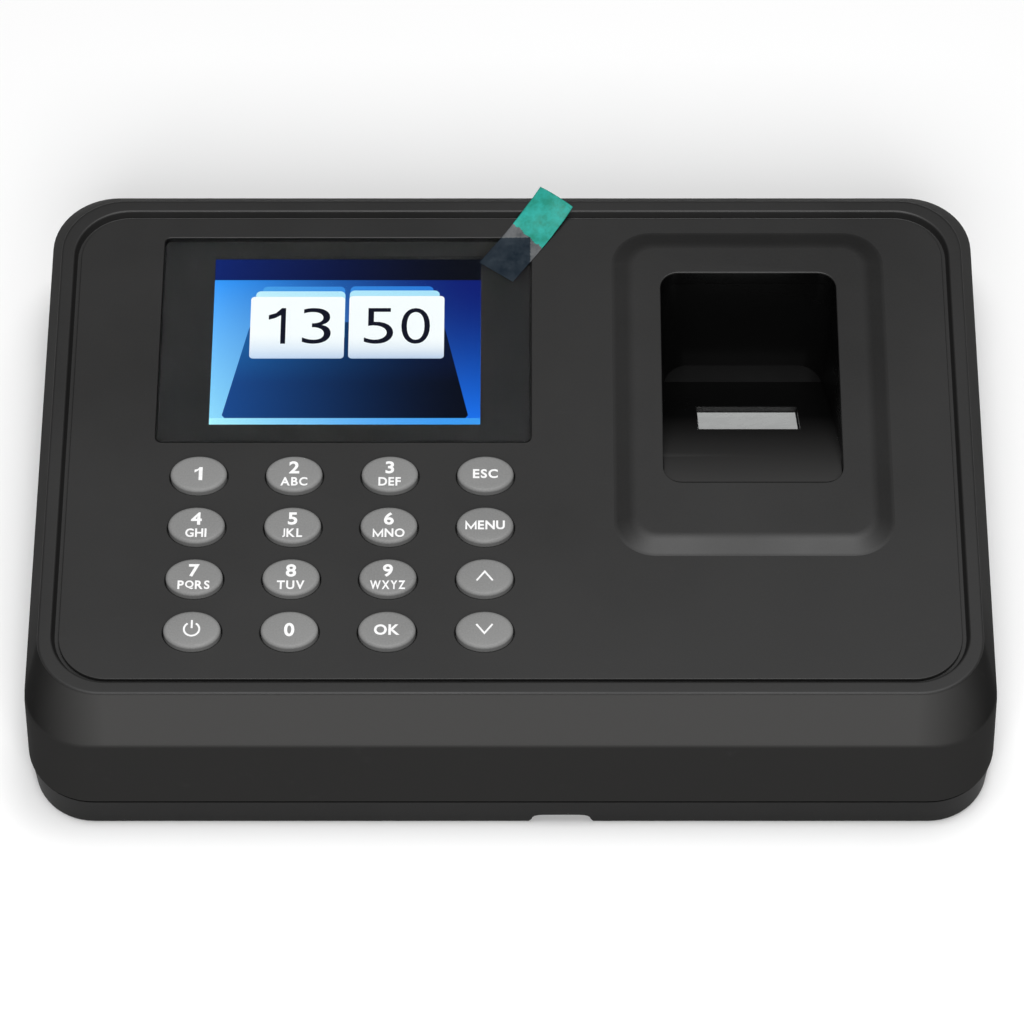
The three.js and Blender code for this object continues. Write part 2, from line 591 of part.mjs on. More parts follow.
const speaker = () => turned([
  [0, COVER_FLOOR + GAP],
  [SPEAKER.radius, COVER_FLOOR + GAP],
  [SPEAKER.radius, COVER_FLOOR + GAP + 1.6],
  [SPEAKER.magnet + 1.5, COVER_FLOOR + GAP + 3],
  [SPEAKER.magnet, COVER_FLOOR + GAP + 3],
  [SPEAKER.magnet, COVER_FLOOR + SPEAKER.depth],
  [0, COVER_FLOOR + SPEAKER.depth],
], 28).translate([SPEAKER.x, SPEAKER.y, 0]);

const speakerCable = () => {
  const route = new THREE.CatmullRomCurve3([
    new THREE.Vector3(SPEAKER.x + 11.6, SPEAKER.y, 6),
    new THREE.Vector3(SPEAKER.x + 15, SPEAKER.y + 1, 9),
    new THREE.Vector3(SPEAKER.x + 19, SPEAKER.y + 4, 17),
    new THREE.Vector3(SPEAKER.x + 20, SPEAKER.y + 6, 24),
    new THREE.Vector3(SPEAKER.x + 20, SPEAKER.y + 6, MAIN_BOARD.z - GAP),
  ]);
  const options = { steps: 16, extrudePath: route, bevelEnabled: false };
  return solid(new THREE.ExtrudeGeometry(oval(1.1, 0.7, 8), options));
};

const underBoard = (x, y, halfX, halfY, thickness) => {
  const top = MAIN_BOARD.z - 0.2;
  return block(x - halfX, x + halfX, y - halfY, y + halfY, top - thickness, top);
};

const CELL = { x: -2, y: 30, radius: 10, thickness: 3.2 };

const cellHolder = () => {
  const top = MAIN_BOARD.z - 0.2;
  return cut(
    post(CELL.x, CELL.y, top - 5, top, CELL.radius + 1.8, 28),
    post(CELL.x, CELL.y, top - 5 - PAST, top - 1.2, CELL.radius + GAP, 28),
  );
};

const coinCell = () => {
  const top = MAIN_BOARD.z - 0.2 - 1.2 - GAP;
  return post(CELL.x, CELL.y, top - CELL.thickness, top, CELL.radius, 28);
};

// ---------------------------------------------------------------- fasteners

const screw = (kind, x, y, z) => {
  const body = turned([
    [0, 0],
    [kind.head * 0.86, 0],
    [kind.head, kind.headHeight * 0.45],
    [kind.head, kind.headHeight],
    [kind.shank, kind.headHeight],
    [kind.shank, kind.headHeight + kind.length - 1],
    [0, kind.headHeight + kind.length],
  ], 16);
  const slot = kind.head * 0.55;
  const cross = joined(block(-slot, slot, -0.3, 0.3, -1, 0.8), block(-0.3, 0.3, -slot, slot, -1, 0.8));
  return cut(body, cross).translate([x, y, z]);
};

// ---------------------------------------------------------------- assembly

const finish = (color, roughness, metalness = 0) => (
  () => new THREE.MeshStandardMaterial({ color, roughness, metalness })
);
const blackPlastic = finish(0x2c2c2c, 0.6);
const guidePlastic = finish(0x1c1c1c, 0.55);
const greyKey = finish(0x808080, 0.45);
const glossBlack = finish(0x131415, 0.12);
const clearFilm = finish(0xc8d2d8, 0.2);
const tealTape = finish(0x0a8f76, 0.45);
const displayGlass = finish(0x1d4fb0, 0.2);
const whitePlastic = finish(0xd8d8d4, 0.5);
const circuitBoard = finish(0x14512e, 0.5);
const silicone = finish(0x5f6468, 0.75);
const polyimide = finish(0xb0701c, 0.4);
const opticalGlass = finish(0xc9d2d8, 0.05);
const steel = finish(0xb6b8bb, 0.3, 1);
const chipBlack = finish(0x161616, 0.5);
const cableGrey = finish(0x9c9c9c, 0.6);

const terminal = new THREE.Group();

const add = (name, shape, material) => {
  const { numProp, vertProperties, triVerts } = shape.getMesh();
  const geometry = new THREE.BufferGeometry();
  const position = vertProperties.filter((_, i) => i % numProp < 3);
  geometry.setAttribute('position', new THREE.BufferAttribute(position, 3));
  geometry.setIndex(new THREE.BufferAttribute(triVerts, 1));
  geometry.computeVertexNormals();
  const mesh = new THREE.Mesh(geometry, material());
  mesh.name = name;
  terminal.add(mesh);
};

const SIDE_NAMES = ['front_left', 'front_right', 'back_left', 'back_right'];

add('front_shell', frontShell(), blackPlastic);
add('rear_cover', rearCover(), blackPlastic);
add('display_window', displayWindow(), glossBlack);
add('screen_film', screenFilm(), clearFilm);
add('film_pull_tab', filmTab(), tealTape);
add('lcd_panel', lcdPanel(), displayGlass);
add('lcd_backlight', lcdBacklight(), whitePlastic);
add('lcd_holder', lcdHolder(), whitePlastic);
add('lcd_flex_cable', lcdFlex(), polyimide);
add('keypad_mat', keypadMat(), silicone);
keyPlaces.forEach(({ name, x, y }) => add(name, keyShape().translate([x, y, 0]), greyKey));
add('finger_guide', fingerGuide(), guidePlastic);
add('sensor_glass', sensorGlass(), opticalGlass);
add('sensor_housing', sensorHousing(), chipBlack);
add('sensor_board', sensorBoard(), circuitBoard);
add('sensor_cable', sensorCable(), cableGrey);
add('main_board', mainBoard(), circuitBoard);
add('processor_chip', underBoard(-40, 10, 8, 8, 1.4), chipBlack);
add('memory_chip', underBoard(-18, 10, 6, 4, 1.2), chipBlack);
add('coin_cell_holder', cellHolder(), whitePlastic);
add('coin_cell', coinCell(), steel);
add('port_board', portBoard(), circuitBoard);
add('port_cable', portCable(), cableGrey);
add('usb_port', usbPort(), steel);
add('dc_jack', dcJack(), chipBlack);
add('speaker', speaker(), chipBlack);
add('speaker_cable', speakerCable(), chipBlack);
CASE_SCREWS.forEach(([x, y], i) => (
  add(`case_screw_${SIDE_NAMES[i]}`, screw(CASE_SCREW, x, y, 0.5), steel)
));
MAIN_BOARD_HOLES.forEach(([x, y], i) => {
  const seat = MAIN_BOARD.z - GAP - BOARD_SCREW.headHeight;
  add(`board_screw_${SIDE_NAMES[i]}`, screw({ ...BOARD_SCREW, length: 6 }, x, y, seat), steel);
});
GUIDE_SCREWS.forEach(([x, y], i) => {
  const seat = GUIDE_TAB.z - GAP - BOARD_SCREW.headHeight;
  add(`guide_screw_${['front', 'back'][i]}`, screw({ ...BOARD_SCREW, length: 5.2 }, x, y, seat), steel);
});
PORT_BOARD_HOLES.forEach(([x, y], i) => {
  const seat = PORT_BOARD.z + BOARD + GAP + BOARD_SCREW.headHeight;
  const upright = screw({ ...BOARD_SCREW, length: 6 }, 0, 0, 0).rotate([180, 0, 0]);
  add(`port_board_screw_${['left', 'right'][i]}`, upright.translate([x, y, seat]), steel);
});

export default terminal;
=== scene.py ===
import json
import math

import bmesh
import bpy
from mathutils import Matrix, Vector

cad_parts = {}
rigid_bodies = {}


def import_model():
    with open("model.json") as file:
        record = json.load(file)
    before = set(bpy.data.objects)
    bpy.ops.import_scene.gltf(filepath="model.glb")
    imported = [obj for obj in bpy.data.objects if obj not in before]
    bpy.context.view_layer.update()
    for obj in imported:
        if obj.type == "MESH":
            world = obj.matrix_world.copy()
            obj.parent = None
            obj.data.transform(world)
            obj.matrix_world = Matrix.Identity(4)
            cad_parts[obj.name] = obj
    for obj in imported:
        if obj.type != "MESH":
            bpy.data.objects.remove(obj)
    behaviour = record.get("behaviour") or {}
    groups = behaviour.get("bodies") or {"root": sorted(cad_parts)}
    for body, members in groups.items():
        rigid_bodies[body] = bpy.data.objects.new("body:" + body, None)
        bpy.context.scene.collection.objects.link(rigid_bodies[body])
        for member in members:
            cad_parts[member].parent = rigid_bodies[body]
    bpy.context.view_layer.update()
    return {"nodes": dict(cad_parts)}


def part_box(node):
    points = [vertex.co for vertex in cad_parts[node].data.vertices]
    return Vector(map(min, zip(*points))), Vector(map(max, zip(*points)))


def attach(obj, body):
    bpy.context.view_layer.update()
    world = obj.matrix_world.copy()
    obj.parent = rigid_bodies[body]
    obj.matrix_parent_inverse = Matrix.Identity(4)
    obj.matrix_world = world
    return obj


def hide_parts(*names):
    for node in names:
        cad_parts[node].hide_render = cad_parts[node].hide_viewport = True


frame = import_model()
nodes = frame["nodes"]
scene = bpy.context.scene
MM = 0.001

# ------------------------------------------------------------------ shape helpers


def lerp(a, b, t):
    return tuple(p + (q - p) * t for p, q in zip(a, b))


def level(half_x, half_y, radius, z, mid_x=0.0, mid_y=0.0):
    """One rounded outline of a loft, in mm."""
    return (half_x, half_y, radius, z, mid_x, mid_y)


def grown(base, amount, **changes):
    half_x, half_y, radius, z, mid_x, mid_y = base
    names = ("half_x", "half_y", "radius", "z", "mid_x", "mid_y")
    values = (half_x + amount, half_y + amount, radius + amount, z, mid_x, mid_y)
    return level(**{**dict(zip(names, values)), **changes})


def softened(levels, radii, steps):
    """The levels, with each one that has a radius (radii is keyed by its place in the list) rounded off
    towards its neighbours in that many steps."""
    out = []
    for i, here in enumerate(levels):
        radius = radii.get(i, 0)
        if not radius:
            out.append(here)
            continue
        ends = []
        for other in (levels[i - 1], levels[i + 1]):
            across = max(abs(here[0] - other[0]), abs(here[1] + here[5] - other[1] - other[5]))
            span = math.hypot(across, here[3] - other[3])
            ends.append(lerp(here, other, min(0.5, radius / span)))
        for k in range(steps + 1):
            t = k / steps
            out.append(lerp(lerp(ends[0], here, t), lerp(here, ends[1], t), t))
    return out


def rounded_ring(shape, arc):
    """A level's outline as points in mm, with arc steps round each corner."""
    half_x, half_y, radius, z, mid_x, mid_y = shape
    corners = ((1, 1, 0), (-1, 1, 1), (-1, -1, 2), (1, -1, 3))
    ring = []
    for sx, sy, quarter in corners:
        for k in range(arc + 1):
            turn = (quarter + k / arc) * math.pi / 2
            x = mid_x + sx * (half_x - radius) + radius * math.cos(turn)
            y = mid_y + sy * (half_y - radius) + radius * math.sin(turn)
            ring.append(Vector((x, y, z)))
    return ring


def outside(shape, x, y):
    """How far a point in mm lies outside a level's outline; negative within it."""
    half_x, half_y, radius, _, mid_x, mid_y = shape
    dx = abs(x - mid_x) - half_x + radius
    dy = abs(y - mid_y) - half_y + radius
    return math.hypot(max(dx, 0), max(dy, 0)) + min(max(dx, dy), 0) - radius


def oval_ring(x, y, half_x, half_y, z, sides=48):
    turns = [2 * math.pi * k / sides for k in range(sides)]
    return [Vector((x + half_x * math.cos(t), y + half_y * math.sin(t), z)) for t in turns]


def mesh_from(name, bm):
    mesh = bpy.data.meshes.new(name)
    bm.to_mesh(mesh)
    bm.free()
    return mesh


def skin(name, rings):
    """A mesh through rings of points in mm, closed by a face at each end."""
    bm = bmesh.new()
    loops = [[bm.verts.new(p * MM) for p in ring] for ring in rings]
    for low, high in zip(loops, loops[1:]):
        for i in range(len(low)):
            j = (i + 1) % len(low)
            bm.faces.new((low[i], low[j], high[j], high[i]))
    bm.faces.new(list(reversed(loops[0])))
    bm.faces.new(loops[-1])
    bmesh.ops.recalc_face_normals(bm, faces=bm.faces)
    return mesh_from(name, bm)


def loft(name, levels, arc):
    return skin(name, [rounded_ring(one, arc) for one in levels])


def prism(name, outline, z0, z1):
    """An outline of (x, y) points carried from z0 to z1, in mm."""
    return skin(name, [[Vector((x, y, z)) for x, y in outline] for z in (z0, z1)])


def prism_along_y(name, outline, y0, y1):
    """An outline of (x, z) points carried from y0 to y1, in mm."""
    return skin(name, [[Vector((x, y, z)) for x, z in outline] for y in (y0, y1)])


def box_mesh(name, x0, x1, y0, y1, z0, z1):
    return prism(name, [(x0, y0), (x1, y0), (x1, y1), (x0, y1)], z0, z1)


def stack(name, x, y, steps, sides=32):
    """A turned piece on an upright axis, from (radius, z) steps, in mm."""
    return skin(name, [oval_ring(x, y, r, r, z, sides) for r, z in steps])


def arc_points(x, y, radius, start, end, count):
    turns = [math.radians(start + (end - start) * k / count) for k in range(count + 1)]
    return [(x + radius * math.cos(t), y + radius * math.sin(t)) for t in turns]


def evaluated(obj, name):
    view = bpy.context.evaluated_depsgraph_get()
    return bpy.data.meshes.new_from_object(obj.evaluated_get(view)).copy()


def combined(mesh, others, operation):
    """The mesh with the others cut from it or joined to it."""
    work = bpy.data.objects.new("work", mesh)
    scene.collection.objects.link(work)
    group = bpy.data.collections.new("operands")
    scene.collection.children.link(group)
    for other in others:
        group.objects.link(bpy.data.objects.new("operand", other))
    modifier = work.modifiers.new("combine", "BOOLEAN")
    modifier.operation = operation
    modifier.operand_type = "COLLECTION"
    modifier.collection = group
    modifier.solver = "EXACT"
    result = evaluated(work, mesh.name)
    for obj in [work, *group.objects]:
        bpy.data.objects.remove(obj)
    bpy.data.collections.remove(group)
    return result


def piece(name, mesh, body, slot_name, *materials, replaces=(), sharp=32, weighted=True):
    """A shown object with smooth faces and crisp edges, riding on a body."""
    mesh.name = name
    mesh.shade_smooth()
    mesh.set_sharp_from_angle(angle=math.radians(sharp))
    obj = bpy.data.objects.new(name, mesh)
    scene.collection.objects.link(obj)
    for one in materials:
        mesh.materials.append(one)
    if weighted:
        modifier = obj.modifiers.new("normals", "WEIGHTED_NORMAL")
        modifier.keep_sharp = True
        modifier.weight = 90
    if replaces:
        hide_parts(*replaces)
    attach(obj, body)
    return obj


def centre(node):
    low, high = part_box(node)
    return [(a + b) / 2 / MM for a, b in zip(low, high)]


def limits(node):
    """x0, x1, y0, y1, z0, z1 of a CAD node in mm."""
    low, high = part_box(node)
    return [v / MM for pair in zip(low, high) for v in pair]


# ------------------------------------------------------------------ material helpers


class Finish:
    """A node material around one Principled shader, with metric object coordinates."""

    def __init__(self, name, roughness=0.5, metallic=0.0, **sockets):
        self.material = bpy.data.materials.new(name)
        self.material.use_nodes = True
        self.tree = self.material.node_tree
        self.tree.nodes.clear()
        self.output = self.add("ShaderNodeOutputMaterial")
        self.shader = self.add("ShaderNodeBsdfPrincipled")
        self.link(self.shader.outputs["BSDF"], self.output.inputs["Surface"])
        self.shader.inputs["Roughness"].default_value = roughness
        self.shader.inputs["Metallic"].default_value = metallic
        for socket, value in sockets.items():
            self.shader.inputs[socket.replace("_", " ")].default_value = value
        self.place = self.add("ShaderNodeTexCoord").outputs["Object"]

    def add(self, kind, **settings):
        node = self.tree.nodes.new(kind)
        for key, value in settings.items():
            setattr(node, key, value)
        return node

    def link(self, start, end):
        self.tree.links.new(start, end)

    def noise(self, scale, detail=3.0, rough=0.55, stretch=None):
        node = self.add("ShaderNodeTexNoise")
        node.inputs["Scale"].default_value = scale
        node.inputs["Detail"].default_value = detail
        node.inputs["Roughness"].default_value = rough
        place = self.place
        if stretch:
            mapping = self.add("ShaderNodeMapping")
            mapping.inputs["Scale"].default_value = stretch
            self.link(place, mapping.inputs["Vector"])
            place = mapping.outputs["Vector"]
        self.link(place, node.inputs["Vector"])
        return node.outputs["Fac"]

    def span(self, value, low, high, to_low=0.0, to_high=1.0):
        node = self.add("ShaderNodeMapRange")
        for socket, number in zip(("From Min", "From Max", "To Min", "To Max"), (low, high, to_low, to_high)):
            node.inputs[socket].default_value = number
        self.link(value, node.inputs["Value"])
        return node.outputs["Result"]

    def mix(self, factor, a, b):
        node = self.add("ShaderNodeMix", data_type="RGBA")
        for index, value in ((0, factor), (6, a), (7, b)):
            if isinstance(value, (int, float)):
                node.inputs[index].default_value = value
            elif isinstance(value, tuple):
                node.inputs[index].default_value = (*value[:3], 1.0)
            else:
                self.link(value, node.inputs[index])
        return node.outputs[2]

    def times(self, a, b):
        node = self.add("ShaderNodeMath", operation="MULTIPLY")
        self.link(a, node.inputs[0])
        if isinstance(b, (int, float)):
            node.inputs[1].default_value = b
        else:
            self.link(b, node.inputs[1])
        return node.outputs[0]

    def axes(self):
        node = self.add("ShaderNodeSeparateXYZ")
        self.link(self.place, node.inputs[0])
        return node.outputs

    def colour(self, output):
        self.link(output, self.shader.inputs["Base Color"])

    def roughness(self, value, low, high):
        self.link(self.span(value, 0.3, 0.7, low, high), self.shader.inputs["Roughness"])

    def bump(self, value, strength, distance):
        node = self.add("ShaderNodeBump")
        node.inputs["Strength"].default_value = strength
        node.inputs["Distance"].default_value = distance
        self.link(value, node.inputs["Height"])
        self.link(node.outputs["Normal"], self.shader.inputs["Normal"])

    def specks(self, scale, size, share):
        """A mask of sparse small dots: dust on the surface."""
        cells = self.add("ShaderNodeTexVoronoi")
        cells.inputs["Scale"].default_value = scale
        self.link(self.place, cells.inputs["Vector"])
        dot = self.span(cells.outputs["Distance"], size * 0.6, size, 1.0, 0.0)
        chance = self.add("ShaderNodeSeparateColor")
        self.link(cells.outputs["Color"], chance.inputs[0])
        kept = self.add("ShaderNodeMath", operation="GREATER_THAN")
        self.link(chance.outputs[0], kept.inputs[0])
        kept.inputs[1].default_value = 1.0 - share
        return self.times(dot, kept.outputs[0])


# Pale tone that the painted shade in a recess lifts to at the recess's front.
PAINTED_LIGHT_TONE = (0.044, 0.0435, 0.043)
DUST_TONE = (0.6, 0.6, 0.58)
# Ranges, in metres, of the painted light on the bevel: the front strip with its painted highlight, the back
# strip with its painted reflection, the front corners with their painted shade, and where the highlight fades
# out towards either end.
BEVEL_FRONT, BEVEL_BACK = (-48 * MM, -55 * MM), (50 * MM, 57 * MM)
CORNER_FRONT = (-34 * MM, -48 * MM)
BEVEL_END, BEVEL_END_CLEAR = 84 * MM, 71 * MM


def bevel_light_and_shade(f, base, tone, low, high):
    """Painted light and shade on the casing's side, in metres of height: painted shade a little deeper below
    the bevel, and on the bevel a painted highlight palest along the front, painted shade darkest round the
    front corners and a painted reflection somewhat paler along the back."""
    height = f.axes()[2]
    # Painted shade: the walls below the bevel a little darker than the bevel.
    base = f.mix(f.span(height, low + 0.6 * MM, low - 0.6 * MM), base, tuple(v * 0.86 for v in tone))
    above = (low - 0.3 * MM, low + 0.6 * MM)
    painted_light = f.times(f.span(height, *above), f.span(height, high + 0.2 * MM, high - 0.3 * MM))
    painted_light = f.times(painted_light, f.span(f.axes()[1], *BEVEL_FRONT))
    for end in (-1, 1):
        painted_light = f.times(painted_light, f.span(f.axes()[0], end * BEVEL_END, end * BEVEL_END_CLEAR))
    corner = f.times(f.span(f.axes()[1], *CORNER_FRONT), f.span(height, *above))
    back = f.times(f.span(f.axes()[1], *BEVEL_BACK), f.span(height, *above))
    # Painted reflection along the back, painted shade round the front corners, painted highlight along the
    # front.
    for mask, strength in ((back, 1.55), (corner, 0.45), (painted_light, 2.1)):
        base = f.mix(mask, base, tuple(v * strength for v in tone))
    return base


def moulded(name, tone, rough, grain=2600.0, strength=0.12, dust=0.0, bevel=None, recess_shade=None, **sockets):
    """Textured moulding: fine grain, slow tone drift, faint rub marks and a little dust. Bevel is the
    height range, in mm, of the sloping bevel, round which painted light and shade change the tone around the
    casing.
    The recess range gives where, in mm along Y, painted shade, dark towards the back of a recess, begins to
    lift and where the surface is palest, towards its front."""
    f = Finish(name, rough, **sockets)
    drift = f.noise(22.0, 4.0)
    fine = f.noise(grain, 2.0, 0.6)
    darker = tuple(v * 0.86 for v in tone)
    lighter = tuple(v * 1.16 for v in tone)
    base = f.mix(f.span(drift, 0.3, 0.7), darker, lighter)
    base = f.mix(f.times(f.span(fine, 0.35, 0.75), 0.35), base, tuple(v * 1.5 for v in tone))
    if bevel:
        base = bevel_light_and_shade(f, base, tone, *(value * MM for value in bevel))
    # Painted shade in a recess: dark towards its back, lifting to a pale tone towards its front.
    if recess_shade:
        start, palest = (value * MM for value in recess_shade)
        painted_light = f.span(f.axes()[1], start, palest)
        base = f.mix(painted_light, base, PAINTED_LIGHT_TONE)
    rub = f.times(f.span(f.noise(160.0, 5.0, 0.7, (1.0, 4.0, 1.0)), 0.62, 0.8), 0.12)
    base = f.mix(rub, base, tuple(min(1.0, v * 2.2 + 0.01) for v in tone))
    if dust:
        mask = f.times(f.specks(150.0, 0.017, dust), 0.5)
        base = f.mix(mask, base, DUST_TONE)
    f.colour(base)
    f.roughness(drift, rough - 0.05, rough + 0.06)
    f.bump(fine, strength, 0.00006)
    return f.material


def metal(name, tone, rough, streak=(1.0, 1.0, 1.0)):
    f = Finish(name, rough, 1.0)
    lines = f.noise(900.0, 4.0, 0.6, streak)
    f.colour(f.mix(f.span(lines, 0.3, 0.7), tuple(v * 0.8 for v in tone), tone))
    f.roughness(f.noise(120.0, 4.0), rough - 0.08, rough + 0.12)
    f.bump(lines, 0.08, 0.00003)
    return f.material


def lacquered_board(name):
    """Green solder mask with fine tracks showing as faint relief and tone."""
    f = Finish(name, 0.32, Coat_Weight=0.4, Coat_Roughness=0.15)
    cells = f.add("ShaderNodeTexBrick")
    cells.inputs["Scale"].default_value = 220.0
    cells.inputs["Mortar Size"].default_value = 0.03
    f.link(f.place, cells.inputs["Vector"])
    tracks = cells.outputs["Fac"]
    tone = f.mix(tracks, (0.008, 0.075, 0.028), (0.018, 0.13, 0.05))
    f.colour(f.mix(f.times(f.span(f.noise(90.0), 0.4, 0.7), 0.3), tone, (0.004, 0.05, 0.02)))
    f.bump(tracks, 0.2, 0.00005)
    f.roughness(f.noise(400.0), 0.26, 0.4)
    return f.material


BEVEL_LOW = 27.3  # height in mm at which the walls end and the bevel begins
HOUSING = moulded("housing_plastic", (0.0145, 0.0143, 0.0141), 0.48, dust=0.16, Specular_IOR_Level=0.4)
# The sides are the top's plastic with about twice its tone and next to no specular: the paler tone is painted
# sheen, standing in for their reflection. The bevel range adds painted light and shade round the casing.
SIDES = moulded(
    "side_plastic", (0.031, 0.0306, 0.03), 0.5, dust=0.1, bevel=(BEVEL_LOW, 40.1), Specular_IOR_Level=0.002
)
COVER = moulded("cover_plastic", (0.0095, 0.0094, 0.0092), 0.5, dust=0.1, Specular_IOR_Level=0.07)
# The guide's very dark tone is painted shade deep in the finger recess; its Y range lifts it to a paler tone
# at the recess's front crest.
GUIDE = moulded(
    "guide_plastic", (0.0032, 0.0032, 0.0032), 0.3,
    grain=3200.0, strength=0.08, recess_shade=(12.0, -13.0), Specular_IOR_Level=0.2,
)
# Painted shadow: a near-black finish for the shadow in the gap at the seam.
SEAM_SHADE = moulded("seam_painted_shadow", (0.0015, 0.0015, 0.0015), 0.7, Specular_IOR_Level=0.02)
KEY = moulded("key_plastic", (0.205, 0.205, 0.203), 0.5, grain=3600.0, strength=0.1, Specular_IOR_Level=0.3)
BLACK = moulded("black_plastic", (0.008, 0.008, 0.008), 0.4)
WHITE = moulded("white_plastic", (0.62, 0.62, 0.59), 0.5)
SILICONE = moulded("mat_silicone", (0.1, 0.105, 0.115), 0.62, strength=0.06)
CABLE = moulded("cable_sleeve", (0.28, 0.28, 0.27), 0.5, grain=1500.0)
FLEX = moulded("flex_circuit", (0.4, 0.15, 0.03), 0.3, grain=1200.0, strength=0.05)
PORT_STEEL = metal("port_steel", (0.6, 0.6, 0.6), 0.28, (1.0, 6.0, 1.0))
SCREW_STEEL = metal("screw_steel", (0.52, 0.51, 0.5), 0.3)
BOARD = lacquered_board("board_laminate")


def legend_ink():
    f = Finish("legend_ink", 0.5)
    f.colour(f.mix(f.span(f.noise(1800.0), 0.3, 0.7), (0.8, 0.8, 0.8), (0.95, 0.95, 0.95)))
    f.bump(f.noise(4000.0), 0.05, 0.00002)
    return f.material


def clear_lens():
    """Window acrylic, with a low index so that the overhead light does not veil the display."""
    f = Finish("window_acrylic", 0.03, Transmission_Weight=1.0, IOR=1.12, Specular_IOR_Level=0.0)
    drift = f.noise(30.0, 3.0)
    f.colour(f.mix(f.span(drift, 0.3, 0.7), (0.93, 0.95, 0.96), (0.97, 0.98, 0.98)))
    f.roughness(f.noise(180.0, 5.0, 0.65), 0.02, 0.06)
    f.bump(f.noise(14.0, 2.0), 0.02, 0.0002)
    return f.material


def window_paint():
    f = Finish("window_paint", 0.5, Specular_IOR_Level=0.1)
    f.colour(f.mix(f.span(f.noise(60.0), 0.3, 0.7), (0.018, 0.018, 0.0183), (0.024, 0.024, 0.0243)))
    f.bump(f.noise(2500.0), 0.04, 0.00002)
    return f.material


def thin_film():
    """Protective film, clear enough that only its pull tab is noticed."""
    f = Finish("clear_film", 0.12, Alpha=0.002, IOR=1.4)
    f.colour(f.mix(f.span(f.noise(45.0, 4.0), 0.3, 0.7), (0.6, 0.65, 0.68), (0.8, 0.85, 0.88)))
    f.roughness(f.noise(220.0, 5.0, 0.7), 0.08, 0.2)
    f.bump(f.noise(35.0, 3.0), 0.05, 0.0001)
    return f.material


def tab_tape(name, deep, light, alpha, rough, crease):
    f = Finish(name, rough, Alpha=alpha, Specular_IOR_Level=0.16)
    blotch = f.noise(420.0, 5.0, 0.65)
    streak = f.noise(150.0, 4.0, 0.6, (1.0, 0.5, 1.0))
    tone = f.mix(f.span(blotch, 0.35, 0.66), deep, light)
    paler = tuple(min(1.0, v * 1.8 + 0.03) for v in deep)
    f.colour(f.mix(f.times(f.span(streak, 0.55, 0.75), 0.35), tone, paler))
    f.roughness(blotch, rough - 0.08, rough + 0.1)
    f.bump(f.noise(260.0, 4.0, 0.6), crease, 0.0002)
    return f.material


TEAL = tab_tape("tab_teal", (0.018, 0.24, 0.175), (0.03, 0.39, 0.34), 1.0, 0.5, 0.3)
TAB_BAND = tab_tape("tab_band", (0.07, 0.075, 0.08), (0.17, 0.175, 0.18), 0.9, 0.45, 0.35)
TAB_CLEAR = tab_tape("tab_clear", (0.012, 0.02, 0.03), (0.03, 0.042, 0.055), 0.8, 0.35, 0.5)


def platen_glass():
    f = Finish("platen_glass", 0.12, Coat_Weight=1.0, Coat_Roughness=0.04)
    smear = f.noise(260.0, 5.0, 0.65)
    f.colour(f.mix(f.span(smear, 0.3, 0.7), (0.88, 0.9, 0.89), (0.93, 0.95, 0.94)))
    f.roughness(smear, 0.2, 0.34)
    f.bump(f.noise(1500.0), 0.03, 0.00002)
    return f.material


# ------------------------------------------------------------------ housing

PAD_TOP = max(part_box("finger_guide")[1][2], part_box("front_shell")[1][2]) / MM
SHELL_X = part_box("front_shell")[1][0] / MM
SHELL_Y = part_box("front_shell")[1][1] / MM
PANEL_Z = PAD_TOP - 1.1
RIM_Z = PANEL_Z + 0.65
CEILING_Z = PANEL_Z - 2.2
GROOVE_Z = RIM_Z - 1.5
CUT_Z = 45  # a height above everything, where cuts end

# The shell's bosses reach below the seam and the cover's posts above it, so no box gives its height.
SEAM_Z = 8.5
SEAM = level(SHELL_X, SHELL_Y, 12.2, SEAM_Z)
WALL_TOP = level(SHELL_X - 0.75, SHELL_Y - 0.55, 11.8, BEVEL_LOW)
RIM = level(82.85, 53.2, 11.5, RIM_Z, mid_y=-3.55)
RIM_IN = level(80.45, 50.8, 10.0, RIM_Z, mid_y=-3.55)
PANEL = level(79.2, 49.7, 8.8, PANEL_Z, mid_y=-3.7)

PAD_X = 43.35
KEY_HALF_X, KEY_HALF_Y = 5.05, 3.82
BOARD_POST_Z, GUIDE_POST_Z = 31.9, 33.3
POST_TOP = CEILING_Z + 0.6


def key_nodes():
    return sorted(n for n in nodes if n.startswith("key_"))


def shell_mesh():
    inner_seam = grown(SEAM, -2.3)
    levels = [
        level(81.2, 52.0, 9.3, CEILING_Z, mid_y=-3.1),  # inside of the casing, from its ceiling down
        grown(WALL_TOP, -2.2),
        grown(inner_seam, 0, z=SEAM_Z),
        grown(SEAM, -0.6),  # seam line, then the outside from the seam up
        grown(SEAM, -0.6, z=SEAM_Z + 0.35),
        grown(SEAM, -0.1, z=SEAM_Z + 0.42),
        grown(SEAM, 0, z=SEAM_Z + 0.55),
        WALL_TOP,
        RIM,
        RIM_IN,
        grown(RIM_IN, -0.5, z=GROOVE_Z),  # groove between the rim and the panel
        grown(PANEL, 0.0, z=GROOVE_Z),
        PANEL,
        grown(PANEL, -1.5),
    ]
    radii = {7: 1.6, 8: 0.42, 9: 0.3, 10: 0.12, 12: 0.14}
    return loft("front_shell", softened(levels, radii, 5), 14)


def pad_mesh():
    """The raised pad round the finger recess."""
    foot = level(24.65, 35.0, 7.0, PANEL_Z, mid_x=PAD_X, mid_y=7.38)
    face = grown(foot, -3.1, z=PAD_TOP, radius=4.5)
    levels = [
        grown(foot, 0.35, z=PANEL_Z - 1.2),
        grown(foot, 0.35, z=PANEL_Z + 0.01),
        grown(foot, -0.15, z=PANEL_Z + 0.09),
        face,
        grown(face, -3.0),
    ]
    return loft("pad", softened(levels, {2: 0.3, 3: 0.9}, 5), 10)


